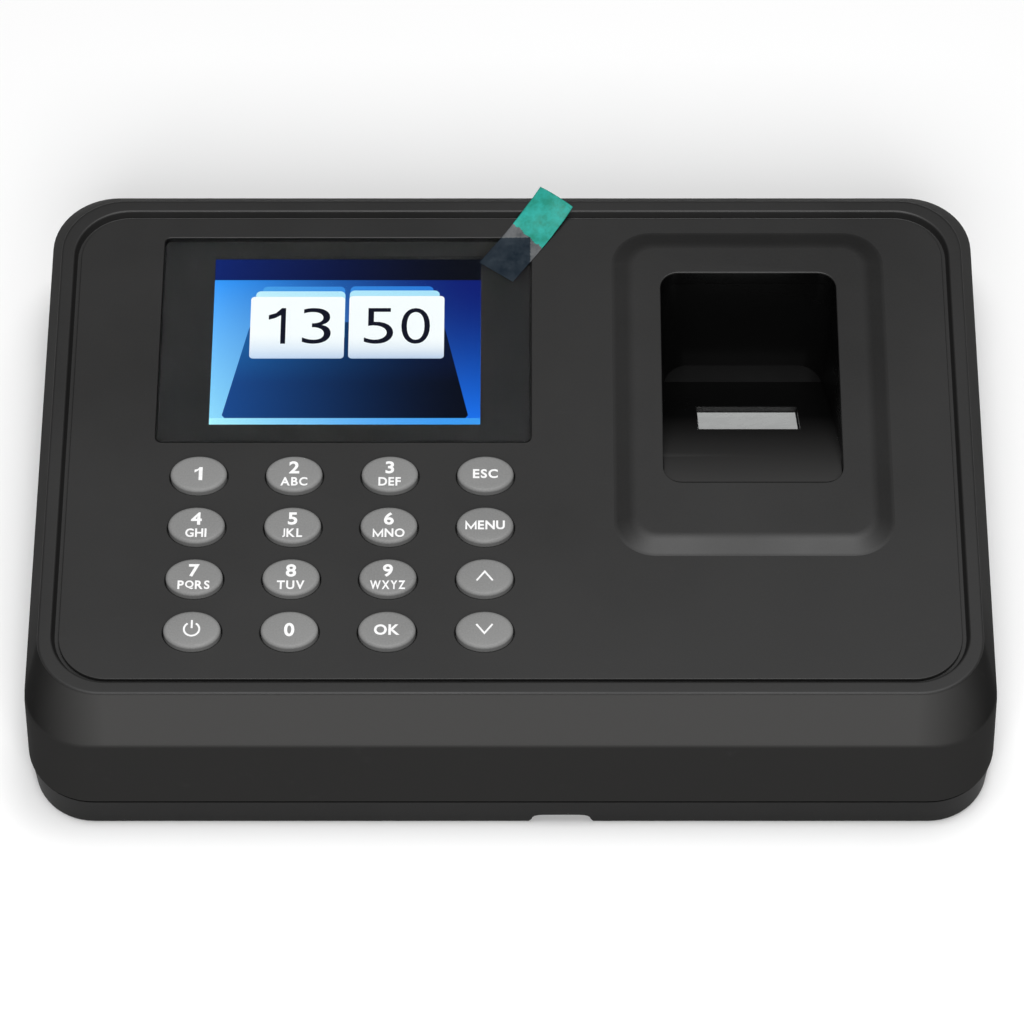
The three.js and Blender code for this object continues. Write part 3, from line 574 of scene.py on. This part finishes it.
RECESS = level(16.05, 22.97, 3.3, CEILING_Z - 4, mid_x=PAD_X, mid_y=9.975)
CASE_POSTS = [centre(n)[:2] for n in sorted(nodes) if n.startswith("case_screw")]
BOARD_POSTS = [centre(n)[:2] for n in sorted(nodes) if n.startswith("board_screw")]
GUIDE_POSTS = [centre(n)[:2] for n in sorted(nodes) if n.startswith("guide_screw")]
PORT_POSTS = [centre(n)[:2] for n in sorted(nodes) if n.startswith("port_board_screw")]


def shell_posts():
    made = [stack("post", x, y, [(3.7, 5.0), (3.7, POST_TOP)], 24) for x, y in CASE_POSTS]
    for places, z in ((BOARD_POSTS, BOARD_POST_Z), (GUIDE_POSTS, GUIDE_POST_Z)):
        made += [stack("post", x, y, [(2.6, z), (2.6, POST_TOP)], 20) for x, y in places]
    return made


def shell_cuts():
    x0, x1, y0, y1, z0, z1 = limits("display_window")
    seat = level((x1 - x0) / 2 + 0.2, (y1 - y0) / 2 + 0.2, 1.2, z0 - 0.2, (x0 + x1) / 2, (y0 + y1) / 2)
    seat_levels = [seat, grown(seat, 0, z=PANEL_Z - 0.12), grown(seat, 0.12, z=PANEL_Z)]
    cuts = [loft("seat", [*seat_levels, grown(seat, 0.12, z=CUT_Z + 1)], 6)]
    for name in key_nodes():
        x, y, _ = centre(name)
        rows = [(0.16, CEILING_Z - 3), (0.16, PANEL_Z - 0.22), (0.22, PANEL_Z - 0.08)]
        rows += [(0.34, PANEL_Z), (0.34, CUT_Z)]
        cuts.append(skin("hole", [oval_ring(x, y, KEY_HALF_X + gap, KEY_HALF_Y + gap, z) for gap, z in rows]))
    mouth = [RECESS, grown(RECESS, 0, z=PAD_TOP - 0.3), grown(RECESS, 0.08, z=PAD_TOP - 0.08)]
    mouth += [grown(RECESS, 0.25, z=PAD_TOP), grown(RECESS, 0.25, z=CUT_Z + 1)]
    cuts.append(loft("mouth", mouth, 10))
    for name in ("usb_port", "dc_jack"):
        x0, x1, y0, y1, z0, z1 = limits(name)
        cuts.append(box_mesh("socket", x0 - 0.3, x1 + 0.3, SHELL_Y - 4, SHELL_Y + 4, z0 - 0.3, z1 + 0.3))
    for x, y in CASE_POSTS:
        cuts.append(stack("bore", x, y, [(1.7, 1.0), (1.7, 17.0)], 16))
    for places, z in ((BOARD_POSTS, BOARD_POST_Z), (GUIDE_POSTS, GUIDE_POST_Z)):
        cuts += [stack("bore", x, y, [(1.3, z - 4), (1.3, z + 3.6)], 12) for x, y in places]
    return cuts


SIDE_FACE, GUIDE_FACE, SEAM_FACE = 1, 2, 3


def build_shell():
    mesh = combined(shell_mesh(), [pad_mesh(), *shell_posts()], "UNION")
    mesh = combined(mesh, shell_cuts(), "DIFFERENCE")
    x0, x1, y0, y1, _, _ = limits("lcd_panel")
    view = box_mesh("view", x0 - 0.3, x1 + 0.3, y0 - 0.3, y1 + 0.3, CEILING_Z - 4, PANEL_Z - 0.5)
    mesh = combined(mesh, [view], "DIFFERENCE")
    for face in mesh.polygons:
        x, y, z = (v / MM for v in face.center)
        if z < RIM_Z - 0.2 and outside(RIM, x, y) > -0.3:
            face.material_index = SIDE_FACE
        # Painted shadow: faces along the seam line take the near-black finish for the shadow in the gap.
        if z < SEAM_Z + 0.4 and outside(SEAM, x, y) > -1.2:
            face.material_index = SEAM_FACE
        # Faces inside the recess take the guide's finish, with its painted shade.
        if z < PAD_TOP - 0.32 and outside(RECESS, x, y) < 0.3:
            face.material_index = GUIDE_FACE
    finishes = (HOUSING, SIDES, GUIDE, SEAM_SHADE)
    piece("shell_moulding", mesh, "housing", "housing_plastic", *finishes, replaces=["front_shell"])


def cover_mesh():
    top = SEAM_Z - 0.3
    outer = grown(SEAM, -0.3, z=top)
    foot = grown(SEAM, -0.8, z=0.0, radius=11.0)
    lip = grown(SEAM, -2.6)
    levels = [
        grown(foot, -2.3, z=2.2),
        grown(outer, -2.6, z=top - 2.6),
        grown(lip, -1.4, z=top - 2.0),
        grown(lip, -1.4, z=top + 2.4),
        grown(lip, 0, z=top + 2.4),
        grown(lip, 0, z=top),
        outer,
        foot,
        grown(foot, -3.0),
    ]
    return loft("rear_cover", softened(levels, {6: 0.25, 7: 0.9}, 4), 14)


KEYHOLE_X, KEYHOLE_Y, KEYHOLE_RISE = 68.0, 14.0, 10
ENTRY_RADIUS, SLOT_RADIUS = 4.75, 2.5
NOTCH_X = 9.0
SENSOR_POSTS = [(x, y) for x in (33, 54) for y in (-3, 21)]
SPEAKER_HOLES = 7


def keyhole_outline(x, y):
    """A round entry for a screw's head with a narrow slot above it."""
    meet = math.degrees(math.asin(SLOT_RADIUS / ENTRY_RADIUS))
    around = arc_points(x, y, ENTRY_RADIUS, 90 + meet, 450 - meet, 26)
    return around + arc_points(x, y + KEYHOLE_RISE, SLOT_RADIUS, 0, 180, 10)


def notch_outline(x):
    half = [(6.1, -1.0), (6.1, 0.0), (5.3, 1.55), (5.15, 2.2), (4.75, 2.7), (4.1, 3.0), (3.2, 3.1)]
    return [(x + a, z) for a, z in half] + [(x - a, z) for a, z in reversed(half)]


def build_cover():
    posts = [stack("well", x, y, [(4.9, 1.0), (4.9, 4.7)], 24) for x, y in CASE_POSTS]
    posts += [stack("post", x, y, [(2.6, 1.0), (2.6, 11.7)], 20) for x, y in PORT_POSTS]
    posts += [stack("post", x, y, [(2.0, 1.0), (2.0, 3.5)], 16) for x, y in SENSOR_POSTS]
    posts.append(box_mesh("notch_back", 1, 17, 2 - SHELL_Y, 5.2 - SHELL_Y, 1, 5.5))
    speaker_x, speaker_y, _ = centre("speaker")
    posts.append(stack("ring", speaker_x, speaker_y, [(16.0, 1.0), (16.0, 5.0)], 40))
    mesh = combined(cover_mesh(), posts, "UNION")
    cuts = [stack("ring", speaker_x, speaker_y, [(14.3, 2.2), (14.3, 9.0)], 40)]
    for x, y in CASE_POSTS:
        steps = ((3.35, -2.0), (3.35, 0.0), (3.05, 0.3), (3.05, 2.6), (1.7, 2.6), (1.7, 9.0))
        cuts.append(stack("screw_hole", x, y, steps, 28))
    for x, y in PORT_POSTS:
        cuts.append(stack("bore", x, y, [(1.3, 6.0), (1.3, 14.0)], 12))
    cuts += [prism("keyhole", keyhole_outline(x, KEYHOLE_Y), -3, 6) for x in (-KEYHOLE_X, KEYHOLE_X)]
    cuts.append(prism_along_y("notch", notch_outline(NOTCH_X), -SHELL_Y - 3, -SHELL_Y + 3.2))
    for k in range(SPEAKER_HOLES):
        reach = 5.0 if k else 0.0
        turn = k * math.pi / 3
        x, y = speaker_x + reach * math.cos(turn), speaker_y + reach * math.sin(turn)
        cuts.append(stack("grille", x, y, [(1.2, 0.3), (1.2, 6.0)], 16))
        cuts.append(stack("grille_edge", x, y, [(1.9, -0.5), (1.2, 0.31)], 16))
    mesh = combined(mesh, cuts, "DIFFERENCE")
    for face in mesh.polygons:
        x, y, z = (v / MM for v in face.center)
        # Painted shadow: the cover's top edge at the seam takes the same near-black finish.
        if z > SEAM_Z - 0.36 and outside(SEAM, x, y) > -1.2:
            face.material_index = 1
    finishes = (COVER, SEAM_SHADE)
    piece("cover_moulding", mesh, "housing", "housing_plastic", *finishes, replaces=["rear_cover"])


build_shell()
build_cover()

# ------------------------------------------------------------------ display


def build_window():
    x0, x1, y0, y1, z0, z1 = limits("display_window")
    base = level((x1 - x0) / 2, (y1 - y0) / 2, 1.0, z0, (x0 + x1) / 2, (y0 + y1) / 2)
    levels = [grown(base, -1), base, grown(base, 0, z=z1), grown(base, -1, z=z1)]
    mesh = loft("window", softened(levels, {1: 0.15, 2: 0.15}, 3), 6)
    for face in mesh.polygons:
        face.material_index = 0 if abs(face.normal.z) > 0.9 else 1
    finishes = (clear_lens(), window_paint())
    piece("window_lens", mesh, "housing", "window_acrylic", *finishes, replaces=["display_window"])


LIT_WIDE, LIT_TALL = 48.96, 36.72
LIT_MARGIN, LIT_LOW = 3.45, 1.0


def lcd_view():
    """The lit area of the display, in mm: x0, x1, y0, y1."""
    left = limits("lcd_panel")[0] + LIT_MARGIN
    return left, left + LIT_WIDE, LIT_LOW, LIT_LOW + LIT_TALL


VIEW = lcd_view()


def at(u, v, z):
    """A point of the picture: u from the left edge and v from the top edge, both 0 to 1."""
    x0, x1, y0, y1 = VIEW
    return Vector((x0 + (x1 - x0) * u, y1 - (y1 - y0) * v, z))


def build_mask():
    """The black border printed on the back of the lens, open over the lit area."""
    x0, x1, y0, y1, z0, _ = limits("display_window")
    z = z0 - 0.02
    outer = level((x1 - x0) / 2 - 0.1, (y1 - y0) / 2 - 0.1, 0.9, z, (x0 + x1) / 2, (y0 + y1) / 2)
    vx0, vx1, vy0, vy1 = VIEW
    inner = level((vx1 - vx0) / 2 + 0.5, (vy1 - vy0) / 2 + 0.5, 0.2, z, (vx0 + vx1) / 2, (vy0 + vy1) / 2)
    rings = [inner, outer, grown(outer, 0, z=z - 0.06), grown(inner, 0, z=z - 0.06)]
    bm = bmesh.new()
    loops = [[bm.verts.new(p * MM) for p in rounded_ring(one, 6)] for one in rings]
    for low, high in zip(loops, loops[1:] + loops[:1]):
        for i in range(len(low)):
            j = (i + 1) % len(low)
            bm.faces.new((low[i], low[j], high[j], high[i]))
    bmesh.ops.recalc_face_normals(bm, faces=bm.faces)
    piece("window_border", mesh_from("border", bm), "housing", "window_acrylic", window_paint())


def srgb(*values):
    """Screen colour values, 0 to 255, as linear light."""
    return tuple((v / 255 / 12.92) if v < 11 else ((v / 255 + 0.055) / 1.055) ** 2.4 for v in values)


def glow(name, top_left, top_right, low_left, low_right, v0=0.0, v1=1.0):
    """A lit layer of the picture, blended between four corner colours."""
    f = Finish(name, 0.5, Emission_Strength=1.08, Specular_IOR_Level=0.0)
    x0, x1, y0, y1 = (value * MM for value in VIEW)
    axes = f.axes()
    across = f.span(axes[0], x0, x1)
    down = f.span(axes[1], y1 - (y1 - y0) * v0, y1 - (y1 - y0) * v1)
    left = f.mix(down, srgb(*top_left), srgb(*low_left))
    right = f.mix(f.times(down, down), srgb(*top_right), srgb(*low_right))
    still_left = f.span(across, 0.0, 1.0, 1.0, 0.0)
    tone = f.mix(f.times(still_left, still_left), right, left)
    lines = f.times(f.span(f.noise(9000.0, 0.0), 0.3, 0.7), 0.06)
    f.link(f.mix(lines, tone, (0.0, 0.0, 0.0)), f.shader.inputs["Emission Color"])
    f.shader.inputs["Base Color"].default_value = (0.0, 0.0, 0.0, 1.0)
    return f.material


def flat_shape(bm, points, index):
    """One flat layer of the picture; index picks its finish."""
    face = bm.faces.new([bm.verts.new(p * MM) for p in points])
    face.material_index = index


def card(u0, u1, v0, v1, z, corner=0.019):
    """A rounded card outline in picture fractions."""
    ratio = (VIEW[1] - VIEW[0]) / (VIEW[3] - VIEW[2])
    points = []
    for su, sv, start in ((u1, v0, 0), (u0, v0, 90), (u0, v1, 180), (u1, v1, 270)):
        cu = su - corner if su == u1 else su + corner
        cv = sv + corner * ratio if sv == v0 else sv - corner * ratio
        for k in range(7):
            turn = math.radians(start + 15 * k)
            points.append(at(cu + corner * math.cos(turn), cv - corner * ratio * math.sin(turn), z))
    return points


def text_mesh(text, weight):
    """The text as a flat mesh in the built-in font; weight thickens or thins its strokes."""
    curve = bpy.data.curves.new("text", "FONT")
    curve.body = text
    curve.offset = weight
    curve.resolution_u = 6
    obj = bpy.data.objects.new("text", curve)
    scene.collection.objects.link(obj)
    mesh = evaluated(obj, "text")
    bpy.data.objects.remove(obj)
    return mesh


def one_mesh(stem):
    """A figure 1 with a flag, one unit high; stem is the stroke's width."""
    bm = bmesh.new()
    right, left = 0.52, 0.52 - stem
    outline = [(right, 0), (right, 1), (right - stem * 0.85, 1), (0.22, 0.86), (0.0, 0.8)]
    outline += [(0.0, 0.8 - stem * 0.85), (0.2, 0.72), (left, 0.8), (left, 0)]
    bm.faces.new([bm.verts.new((x, y, 0)) for x, y in reversed(outline)])
    return mesh_from("one", bm)


def fitted(mesh, x0, x1, y0, y1, z, depth=0.0):
    """The text mesh laid flat and stretched to a rectangle in mm, given some thickness."""
    xs = [v.co.x for v in mesh.vertices]
    ys = [v.co.y for v in mesh.vertices]
    fx = (x1 - x0) / (max(xs) - min(xs))
    fy = (y1 - y0) / (max(ys) - min(ys))
    for v in mesh.vertices:
        v.co = Vector((x0 + (v.co.x - min(xs)) * fx, y0 + (v.co.y - min(ys)) * fy, z)) * MM
    if depth:
        bm = bmesh.new()
        bm.from_mesh(mesh)
        made = bmesh.ops.extrude_face_region(bm, geom=bm.faces[:])
        up = [g for g in made["geom"] if isinstance(g, bmesh.types.BMVert)]
        bmesh.ops.translate(bm, vec=(0, 0, depth * MM), verts=up)
        bmesh.ops.recalc_face_normals(bm, faces=bm.faces)
        bm.to_mesh(mesh)
        bm.free()
    return mesh


def build_picture():
    """The lit picture: a flip clock on a blue ground, as thin layers over the display glass."""
    z = limits("lcd_panel")[5] + 0.03
    layers = [
        glow("lcd_sky", (44, 150, 252), (11, 28, 112), (146, 222, 252), (26, 116, 240), 0.1, 1.0),
        glow("lcd_band", (14, 36, 108), (6, 9, 20), (12, 28, 88), (7, 11, 26)),
        glow("lcd_page_far", (84, 176, 240), (40, 120, 215), (84, 176, 240), (40, 120, 215)),
        glow("lcd_page_near", (205, 246, 253), (170, 228, 250), (205, 246, 253), (170, 228, 250)),
        glow("lcd_shade", (30, 100, 172), (5, 14, 42), (27, 76, 146), (3, 8, 24), 0.55, 0.75),
        glow("lcd_card", (250, 255, 255), (250, 255, 255), (196, 220, 248), (165, 190, 222), 0.46, 0.62),
        glow("lcd_strip", (170, 242, 253), (70, 160, 238), (173, 244, 254), (60, 155, 240)),
        glow("lcd_digit", (16, 18, 34), (16, 18, 34), (16, 18, 34), (16, 18, 34)),
    ]
    sky, band, page_far, page_near, shade_layer, card_layer, strip, digit = range(len(layers))
    bm = bmesh.new()
    flat_shape(bm, [at(0, 0, z), at(0, 1, z), at(1, 1, z), at(1, 0, z)], sky)
    z += 0.01
    flat_shape(bm, [at(0, 0, z), at(0, 0.128, z), at(1, 0.128, z), at(1, 0, z)], band)
    flat_shape(bm, [at(0, 0.962, z), at(0, 1, z), at(1, 1, z), at(1, 0.962, z)], strip)
    z += 0.01
    shade = [(0.146, 0.385), (0.133, 0.434), (0.046, 0.945), (0.056, 0.962), (0.945, 0.962), (0.955, 0.945)]
    shade += [(0.868, 0.434), (0.855, 0.385)]
    flat_shape(bm, [at(u, v, z) for u, v in shade], shade_layer)
    # Each pack's left, right and top, then how far its two pages behind stand in from them, and their tops.
    packs = (
        (0.139, 0.4905, 0.231, (0.043, 0.0, 0.168), (0.018, 0.001, 0.197)),
        (0.507, 0.863, 0.226, (0.003, -0.041, 0.166), (0.001, -0.018, 0.192)),
    )
    for left, right, top, far, near in packs:
        for page, lift, layer in ((far, 0.01, page_far), (near, 0.02, page_near)):
            from_left, from_right, page_top = page
            flat_shape(bm, card(left + from_left, right + from_right, page_top, 0.5, z + lift), layer)
        flat_shape(bm, card(left, right, top, 0.606, z + 0.03, 0.014), card_layer)
    mesh = mesh_from("picture", bm)
    piece("display_picture", mesh, "housing", "lcd_glass", *layers, weighted=False)
    z += 0.04
    digits = (("1", 0.207, 0.271), ("3", 0.333, 0.44), ("5", 0.564, 0.673), ("0", 0.703, 0.81))
    for number, (text, u0, u1) in enumerate(digits):
        low, high = at(u0, 0.517, z), at(u1, 0.3, z)
        mesh = one_mesh(0.15) if text == "1" else text_mesh(text, -0.008)
        mesh = fitted(mesh, low.x, high.x, low.y, high.y, z)
        piece(f"display_digit_{number}", mesh, "housing", "lcd_glass", layers[digit], weighted=False)


build_window()
build_mask()
build_picture()


def build_tab():
    """The film's pull tab: flat where it is stuck, curling up to a cut tip."""
    length, width, turn = 19.2, 7.6, math.radians(54.4)
    start = Vector((-2.86, 33.7, 0.0))
    along = Vector((math.cos(turn), math.sin(turn), 0.0))
    side = Vector((-along.y, along.x, 0.0))
    floor_z = limits("screen_film")[5] + 0.06
    steps, lanes = 96, 38
    _, window_x, _, window_y, _, _ = limits("display_window")
    curl_from, curl_height = 0.35, 2.5
    bm = bmesh.new()
    grid = []
    for i in range(steps + 1):
        part = i / steps
        rise = max(0.0, (part - curl_from) / (1 - curl_from))
        lift = curl_height * (1 - math.cos(rise * math.pi / 2))
        row = []
        for j in range(lanes + 1):
            across = j / lanes - 0.5
            skew = 0.35 * across if part > 0.97 else 0.0
            ripple = 0.09 * math.sin(part * 9.0 + across * 5.0) * min(1.0, rise * 3)
            ripple += 0.05 * math.sin(part * 23.0 - across * 7.0) * (0.3 + rise)
            height = floor_z + 0.06 + lift + ripple - 0.35 * (across * 2) ** 2 * rise
            spot = start + along * (part * length + skew) + side * (across * width)
            row.append(bm.verts.new(Vector((spot.x, spot.y, max(height, floor_z))) * MM))
        grid.append(row)
    for i in range(steps):
        part = (i + 0.5) / steps
        for j in range(lanes):
            face = bm.faces.new((grid[i][j], grid[i + 1][j], grid[i + 1][j + 1], grid[i][j + 1]))
            spot = face.calc_center_median() / MM
            over_window = spot.x < window_x and spot.y < window_y
            fold = 0.48 + 0.08 * (j + 0.5) / lanes + 0.006 * math.sin(j * 0.5)
            face.material_index = 0 if part > fold else 2 if over_window else 1
    bmesh.ops.recalc_face_normals(bm, faces=bm.faces)
    obj = piece(
        "pull_tab", mesh_from("tab", bm), "housing", "tab_tape", TEAL, TAB_BAND, TAB_CLEAR,
        replaces=["film_pull_tab"], weighted=False,
    )
    thick = obj.modifiers.new("thickness", "SOLIDIFY")
    thick.thickness = 0.00009
    thick.offset = 1.0


build_tab()

# ------------------------------------------------------------------ keys

INK = legend_ink()
KEY_TOP = PANEL_Z + 1.2
LEGEND_Z = KEY_TOP + 0.08
LETTER_GAP = 0.13  # share of a line's height
HEAD_HEIGHTS = {"ESC": 1.9, "MENU": 1.85, "OK": 2.15}
DIGIT_HEIGHT = 2.75
STROKE_DEPTH = 0.06


def legend_line(text, x, y, height, wide, weight, widest=7.0):
    """One line of a key's legend, centred at x, y, every letter of it as tall as the rest. The M is drawn
    as a stroke, because the font's own M gives dark spots in a render."""
    letters = []
    for letter in text:
        if letter == "M":
            letters.append((None, height * wide * 1.12))
            continue
        mesh = one_mesh(0.24) if letter == "1" else text_mesh(letter, weight)
        xs = [v.co.x for v in mesh.vertices]
        ys = [v.co.y for v in mesh.vertices]
        letters.append((mesh, height * wide * (max(xs) - min(xs)) / (max(ys) - min(ys))))
    gap = height * LETTER_GAP
    total = sum(width for _, width in letters) + gap * (len(letters) - 1)
    squeeze = min(1.0, widest / total)
    left = x - total * squeeze / 2
    made = []
    for mesh, width in letters:
        right = left + width * squeeze
        low, high = y - height / 2, y + height / 2
        if mesh:
            made.append(fitted(mesh, left, right, low, high, LEGEND_Z, 0.05))
        else:
            made.append(em_mesh(left, right, low, high, height * 0.175))
        left = right + gap * squeeze
    return joined(made)


def stroke_mesh(points, width, z):
    """A thick line through (x, y) points in mm, with mitred corners."""
    sides = []
    for i, (x, y) in enumerate(points):
        before = points[max(i - 1, 0)]
        after = points[min(i + 1, len(points) - 1)]
        d = Vector((after[0] - before[0], after[1] - before[1])).normalized()
        n = Vector((-d.y, d.x))
        edge = Vector((after[0] - x, after[1] - y)) if (after[0], after[1]) != (x, y) else d
        normal = Vector((-edge.y, edge.x)).normalized()
        reach = width / 2 / max(0.35, n.dot(normal))
        sides.append((Vector((x, y)) + n * reach, Vector((x, y)) - n * reach))
    bm = bmesh.new()
    rows = []
    for a, b in sides:
        ring = [(a, z), (b, z), (b, z + STROKE_DEPTH), (a, z + STROKE_DEPTH)]
        rows.append([bm.verts.new(Vector((p.x, p.y, h)) * MM) for p, h in ring])
    for low, high in zip(rows, rows[1:]):
        for k in range(4):
            m = (k + 1) % 4
            bm.faces.new((low[k], low[m], high[m], high[k]))
    bm.faces.new(list(reversed(rows[0])))
    bm.faces.new(rows[-1])
    bmesh.ops.recalc_face_normals(bm, faces=bm.faces)
    return mesh_from("stroke", bm)


def joined(meshes):
    """One mesh that holds all of these."""
    bm = bmesh.new()
    for one in meshes:
        bm.from_mesh(one)
    return mesh_from("joined", bm)


def em_mesh(left, right, low, high, stem):
    """A capital M drawn as one thick line, in mm."""
    tall = high - low
    x0, x1 = left + stem / 2, right - stem / 2
    shoulder, dip = high - tall * 0.2, low + tall * 0.13
    line = [(x0, low), (x0, shoulder), ((x0 + x1) / 2, dip), (x1, shoulder), (x1, low)]
    return stroke_mesh(line, stem, LEGEND_Z)


LEGENDS = {
    "key_1": ("1", ""), "key_2": ("2", "ABC"), "key_3": ("3", "DEF"), "key_4": ("4", "GHI"),
    "key_5": ("5", "JKL"), "key_6": ("6", "MNO"), "key_7": ("7", "PQRS"), "key_8": ("8", "TUV"),
    "key_9": ("9", "WXYZ"), "key_0": ("0", ""), "key_ok": ("OK", ""), "key_esc": ("ESC", ""),
    "key_menu": ("MENU", ""),
}


def arrow(x, y, tip):
    return stroke_mesh([(x - 1.42, y - tip), (x, y + tip), (x + 1.42, y - tip)], 0.32, LEGEND_Z)


def power_mark(x, y, radius=1.35, line=0.34):
    """A ring that is open at the top, with an upright bar in the opening."""
    turns = [math.radians(32 + 296 * k / 24) for k in range(25)]
    ring = [(x + radius * math.sin(t), y - 0.1 + radius * math.cos(t)) for t in turns]
    bar = [(x, y + 0.1), (x, y + 1.75)]
    return joined([stroke_mesh(ring, line, LEGEND_Z), stroke_mesh(bar, line, LEGEND_Z)])


def legend_for(name, x, y):
    if name in ("key_up", "key_down"):
        return arrow(x, y, 0.93 if name == "key_up" else -0.93)
    if name == "key_power":
        return power_mark(x, y)
    head, foot = LEGENDS[name]
    if not foot:
        height = HEAD_HEIGHTS.get(head, DIGIT_HEIGHT)
        return legend_line(head, x, y - 0.2, height, 1.0, 0.026)
    upper = legend_line(head, x, y + 1.15, 2.6, 1.08, 0.026)
    lower = legend_line(foot, x, y - 1.85, 1.8, 0.93, 0.026, 6.2)
    return joined([upper, lower])


def build_key(name):
    x, y, _ = centre(name)
    low = limits(name)[4]
    flange_top = low + 1.1
    edge_z = KEY_TOP - 0.62
    rows = [(6.05, 4.58, low), (6.05, 4.58, flange_top), (5.1, 3.87, flange_top)]
    rows += [(KEY_HALF_X, KEY_HALF_Y, PANEL_Z - 0.6), (KEY_HALF_X, KEY_HALF_Y, edge_z)]
    for k in range(1, 7):
        turn = math.radians(15 * k)
        inset = 0.65 * (1 - math.cos(turn))
        rows.append((KEY_HALF_X - inset, KEY_HALF_Y - inset, edge_z + 0.6 * math.sin(turn)))
    dome = ((3.9, 2.75, 0.01), (2.6, 1.8, 0.05), (1.3, 0.9, 0.07), (0.4, 0.28, 0.08))
    rows += [(half_x, half_y, KEY_TOP + rise) for half_x, half_y, rise in dome]
    mesh = skin(name, [oval_ring(x, y, a, b, z, 64) for a, b, z in rows])
    piece(f"cap_{name}", mesh, name, "key_plastic", KEY, replaces=[name])
    piece(f"legend_{name}", legend_for(name, x, y), name, "key_plastic", INK, weighted=False)


for key_name in key_nodes():
    build_key(key_name)

# ------------------------------------------------------------------ pieces kept from the frame


def join_and_smooth():
    """A modifier that joins the frame's split corners and shades smoothly across shallow edges."""
    group = bpy.data.node_groups.new("join_and_smooth", "GeometryNodeTree")
    group.interface.new_socket("Geometry", in_out="INPUT", socket_type="NodeSocketGeometry")
    group.interface.new_socket("Geometry", in_out="OUTPUT", socket_type="NodeSocketGeometry")
    start, end = group.nodes.new("NodeGroupInput"), group.nodes.new("NodeGroupOutput")
    merge = group.nodes.new("GeometryNodeMergeByDistance")
    merge.inputs["Distance"].default_value = 2e-6
    angle = group.nodes.new("GeometryNodeInputMeshEdgeAngle")
    test = group.nodes.new("FunctionNodeCompare")
    test.operation = "LESS_EQUAL"
    test.inputs[1].default_value = math.radians(30)
    faces = group.nodes.new("GeometryNodeSetShadeSmooth")
    edges = group.nodes.new("GeometryNodeSetShadeSmooth")
    edges.domain = "EDGE"
    group.links.new(start.outputs[0], merge.inputs["Geometry"])
    group.links.new(merge.outputs["Geometry"], faces.inputs["Geometry"])
    group.links.new(faces.outputs["Geometry"], edges.inputs["Geometry"])
    group.links.new(angle.outputs["Unsigned Angle"], test.inputs[0])
    group.links.new(test.outputs["Result"], edges.inputs["Shade Smooth"])
    group.links.new(edges.outputs["Geometry"], end.inputs[0])
    return group


PLATEN_DROP = 0.75


def build_platen():
    """The sensor's window, sunk a little below the slope, so that the slope frames it."""
    mesh = nodes["sensor_glass"].data.copy()
    face = max(mesh.polygons, key=lambda one: one.area * (one.normal.z > 0.3))
    mesh.transform(Matrix.Translation(face.normal * -PLATEN_DROP * MM))
    mesh.materials.clear()
    piece("sensor_platen", mesh, "housing", "platen_glass", platen_glass(), replaces=["sensor_glass"])


build_platen()
SMOOTHING = join_and_smooth()
KEPT = {
    "finger_guide": GUIDE,
    "sensor_housing": BLACK,
    "dc_jack": BLACK,
    "processor_chip": BLACK,
    "memory_chip": BLACK,
    "speaker": BLACK,
    "screen_film": thin_film(),
    "lcd_panel": window_paint(),
    "lcd_backlight": WHITE,
    "lcd_holder": WHITE,
    "coin_cell_holder": WHITE,
    "lcd_flex_cable": FLEX,
    "keypad_mat": SILICONE,
    "sensor_board": BOARD,
    "main_board": BOARD,
    "port_board": BOARD,
    "sensor_cable": CABLE,
    "port_cable": CABLE,
    "speaker_cable": CABLE,
    "usb_port": PORT_STEEL,
    "coin_cell": PORT_STEEL,
}
for node_name, node in nodes.items():
    if node.hide_render:
        continue
    node.data.materials.clear()
    node.data.materials.append(KEPT.get(node_name, SCREW_STEEL))
    modifier = node.modifiers.new("join", "NODES")
    modifier.node_group = SMOOTHING

# ------------------------------------------------------------------ floor, light and camera


FLOOR_REACH = 3000


pale = Finish("floor_paper", 0.9)
pale.colour(pale.mix(pale.span(pale.noise(3.0), 0.3, 0.7), (0.95, 0.95, 0.95), (0.97, 0.97, 0.97)))
pale.shader.inputs["Specular IOR Level"].default_value = 0.0
floor_mesh = box_mesh("floor", -FLOOR_REACH, FLOOR_REACH, -FLOOR_REACH, FLOOR_REACH, -6.0, -0.05)
floor = bpy.data.objects.new("floor", floor_mesh)
scene.collection.objects.link(floor)
floor.data.materials.append(pale.material)

world = bpy.data.worlds.new("studio")
world.use_nodes = True
sky = world.node_tree.nodes["Background"]
sky.inputs["Color"].default_value = (1.0, 1.0, 1.0, 1.0)
sky.inputs["Strength"].default_value = 0.06
scene.world = world


def soft_light(name, place, target, size, power):
    data = bpy.data.lights.new(name, "AREA")
    data.shape = "RECTANGLE"
    data.size, data.size_y = size
    data.energy = power
    obj = bpy.data.objects.new(name, data)
    obj.location = place
    obj.rotation_euler = (Vector(target) - Vector(place)).to_track_quat("-Z", "Y").to_euler()
    scene.collection.objects.link(obj)


soft_light("overhead", (0.05, -0.05, 1.5), (0, 0, 0), (0.9, 0.6), 17)
soft_light("front", (0.0, -0.93, 0.9), (0, 0, 0), (0.8, 0.45), 9)

scene.view_settings.view_transform = "Standard"
scene.view_settings.look = "None"

camera_data = bpy.data.cameras.new("camera")
camera_data.sensor_width = 36.0
camera_data.lens = 172.65
camera_data.shift_x = -0.0205
camera_data.clip_start = 0.02
camera = bpy.data.objects.new("camera", camera_data)
camera.location = (0.00394, -0.4948, 0.7727)
camera.rotation_euler = (math.radians(33.0), 0.0, 0.0)
scene.collection.objects.link(camera)
scene.camera = camera
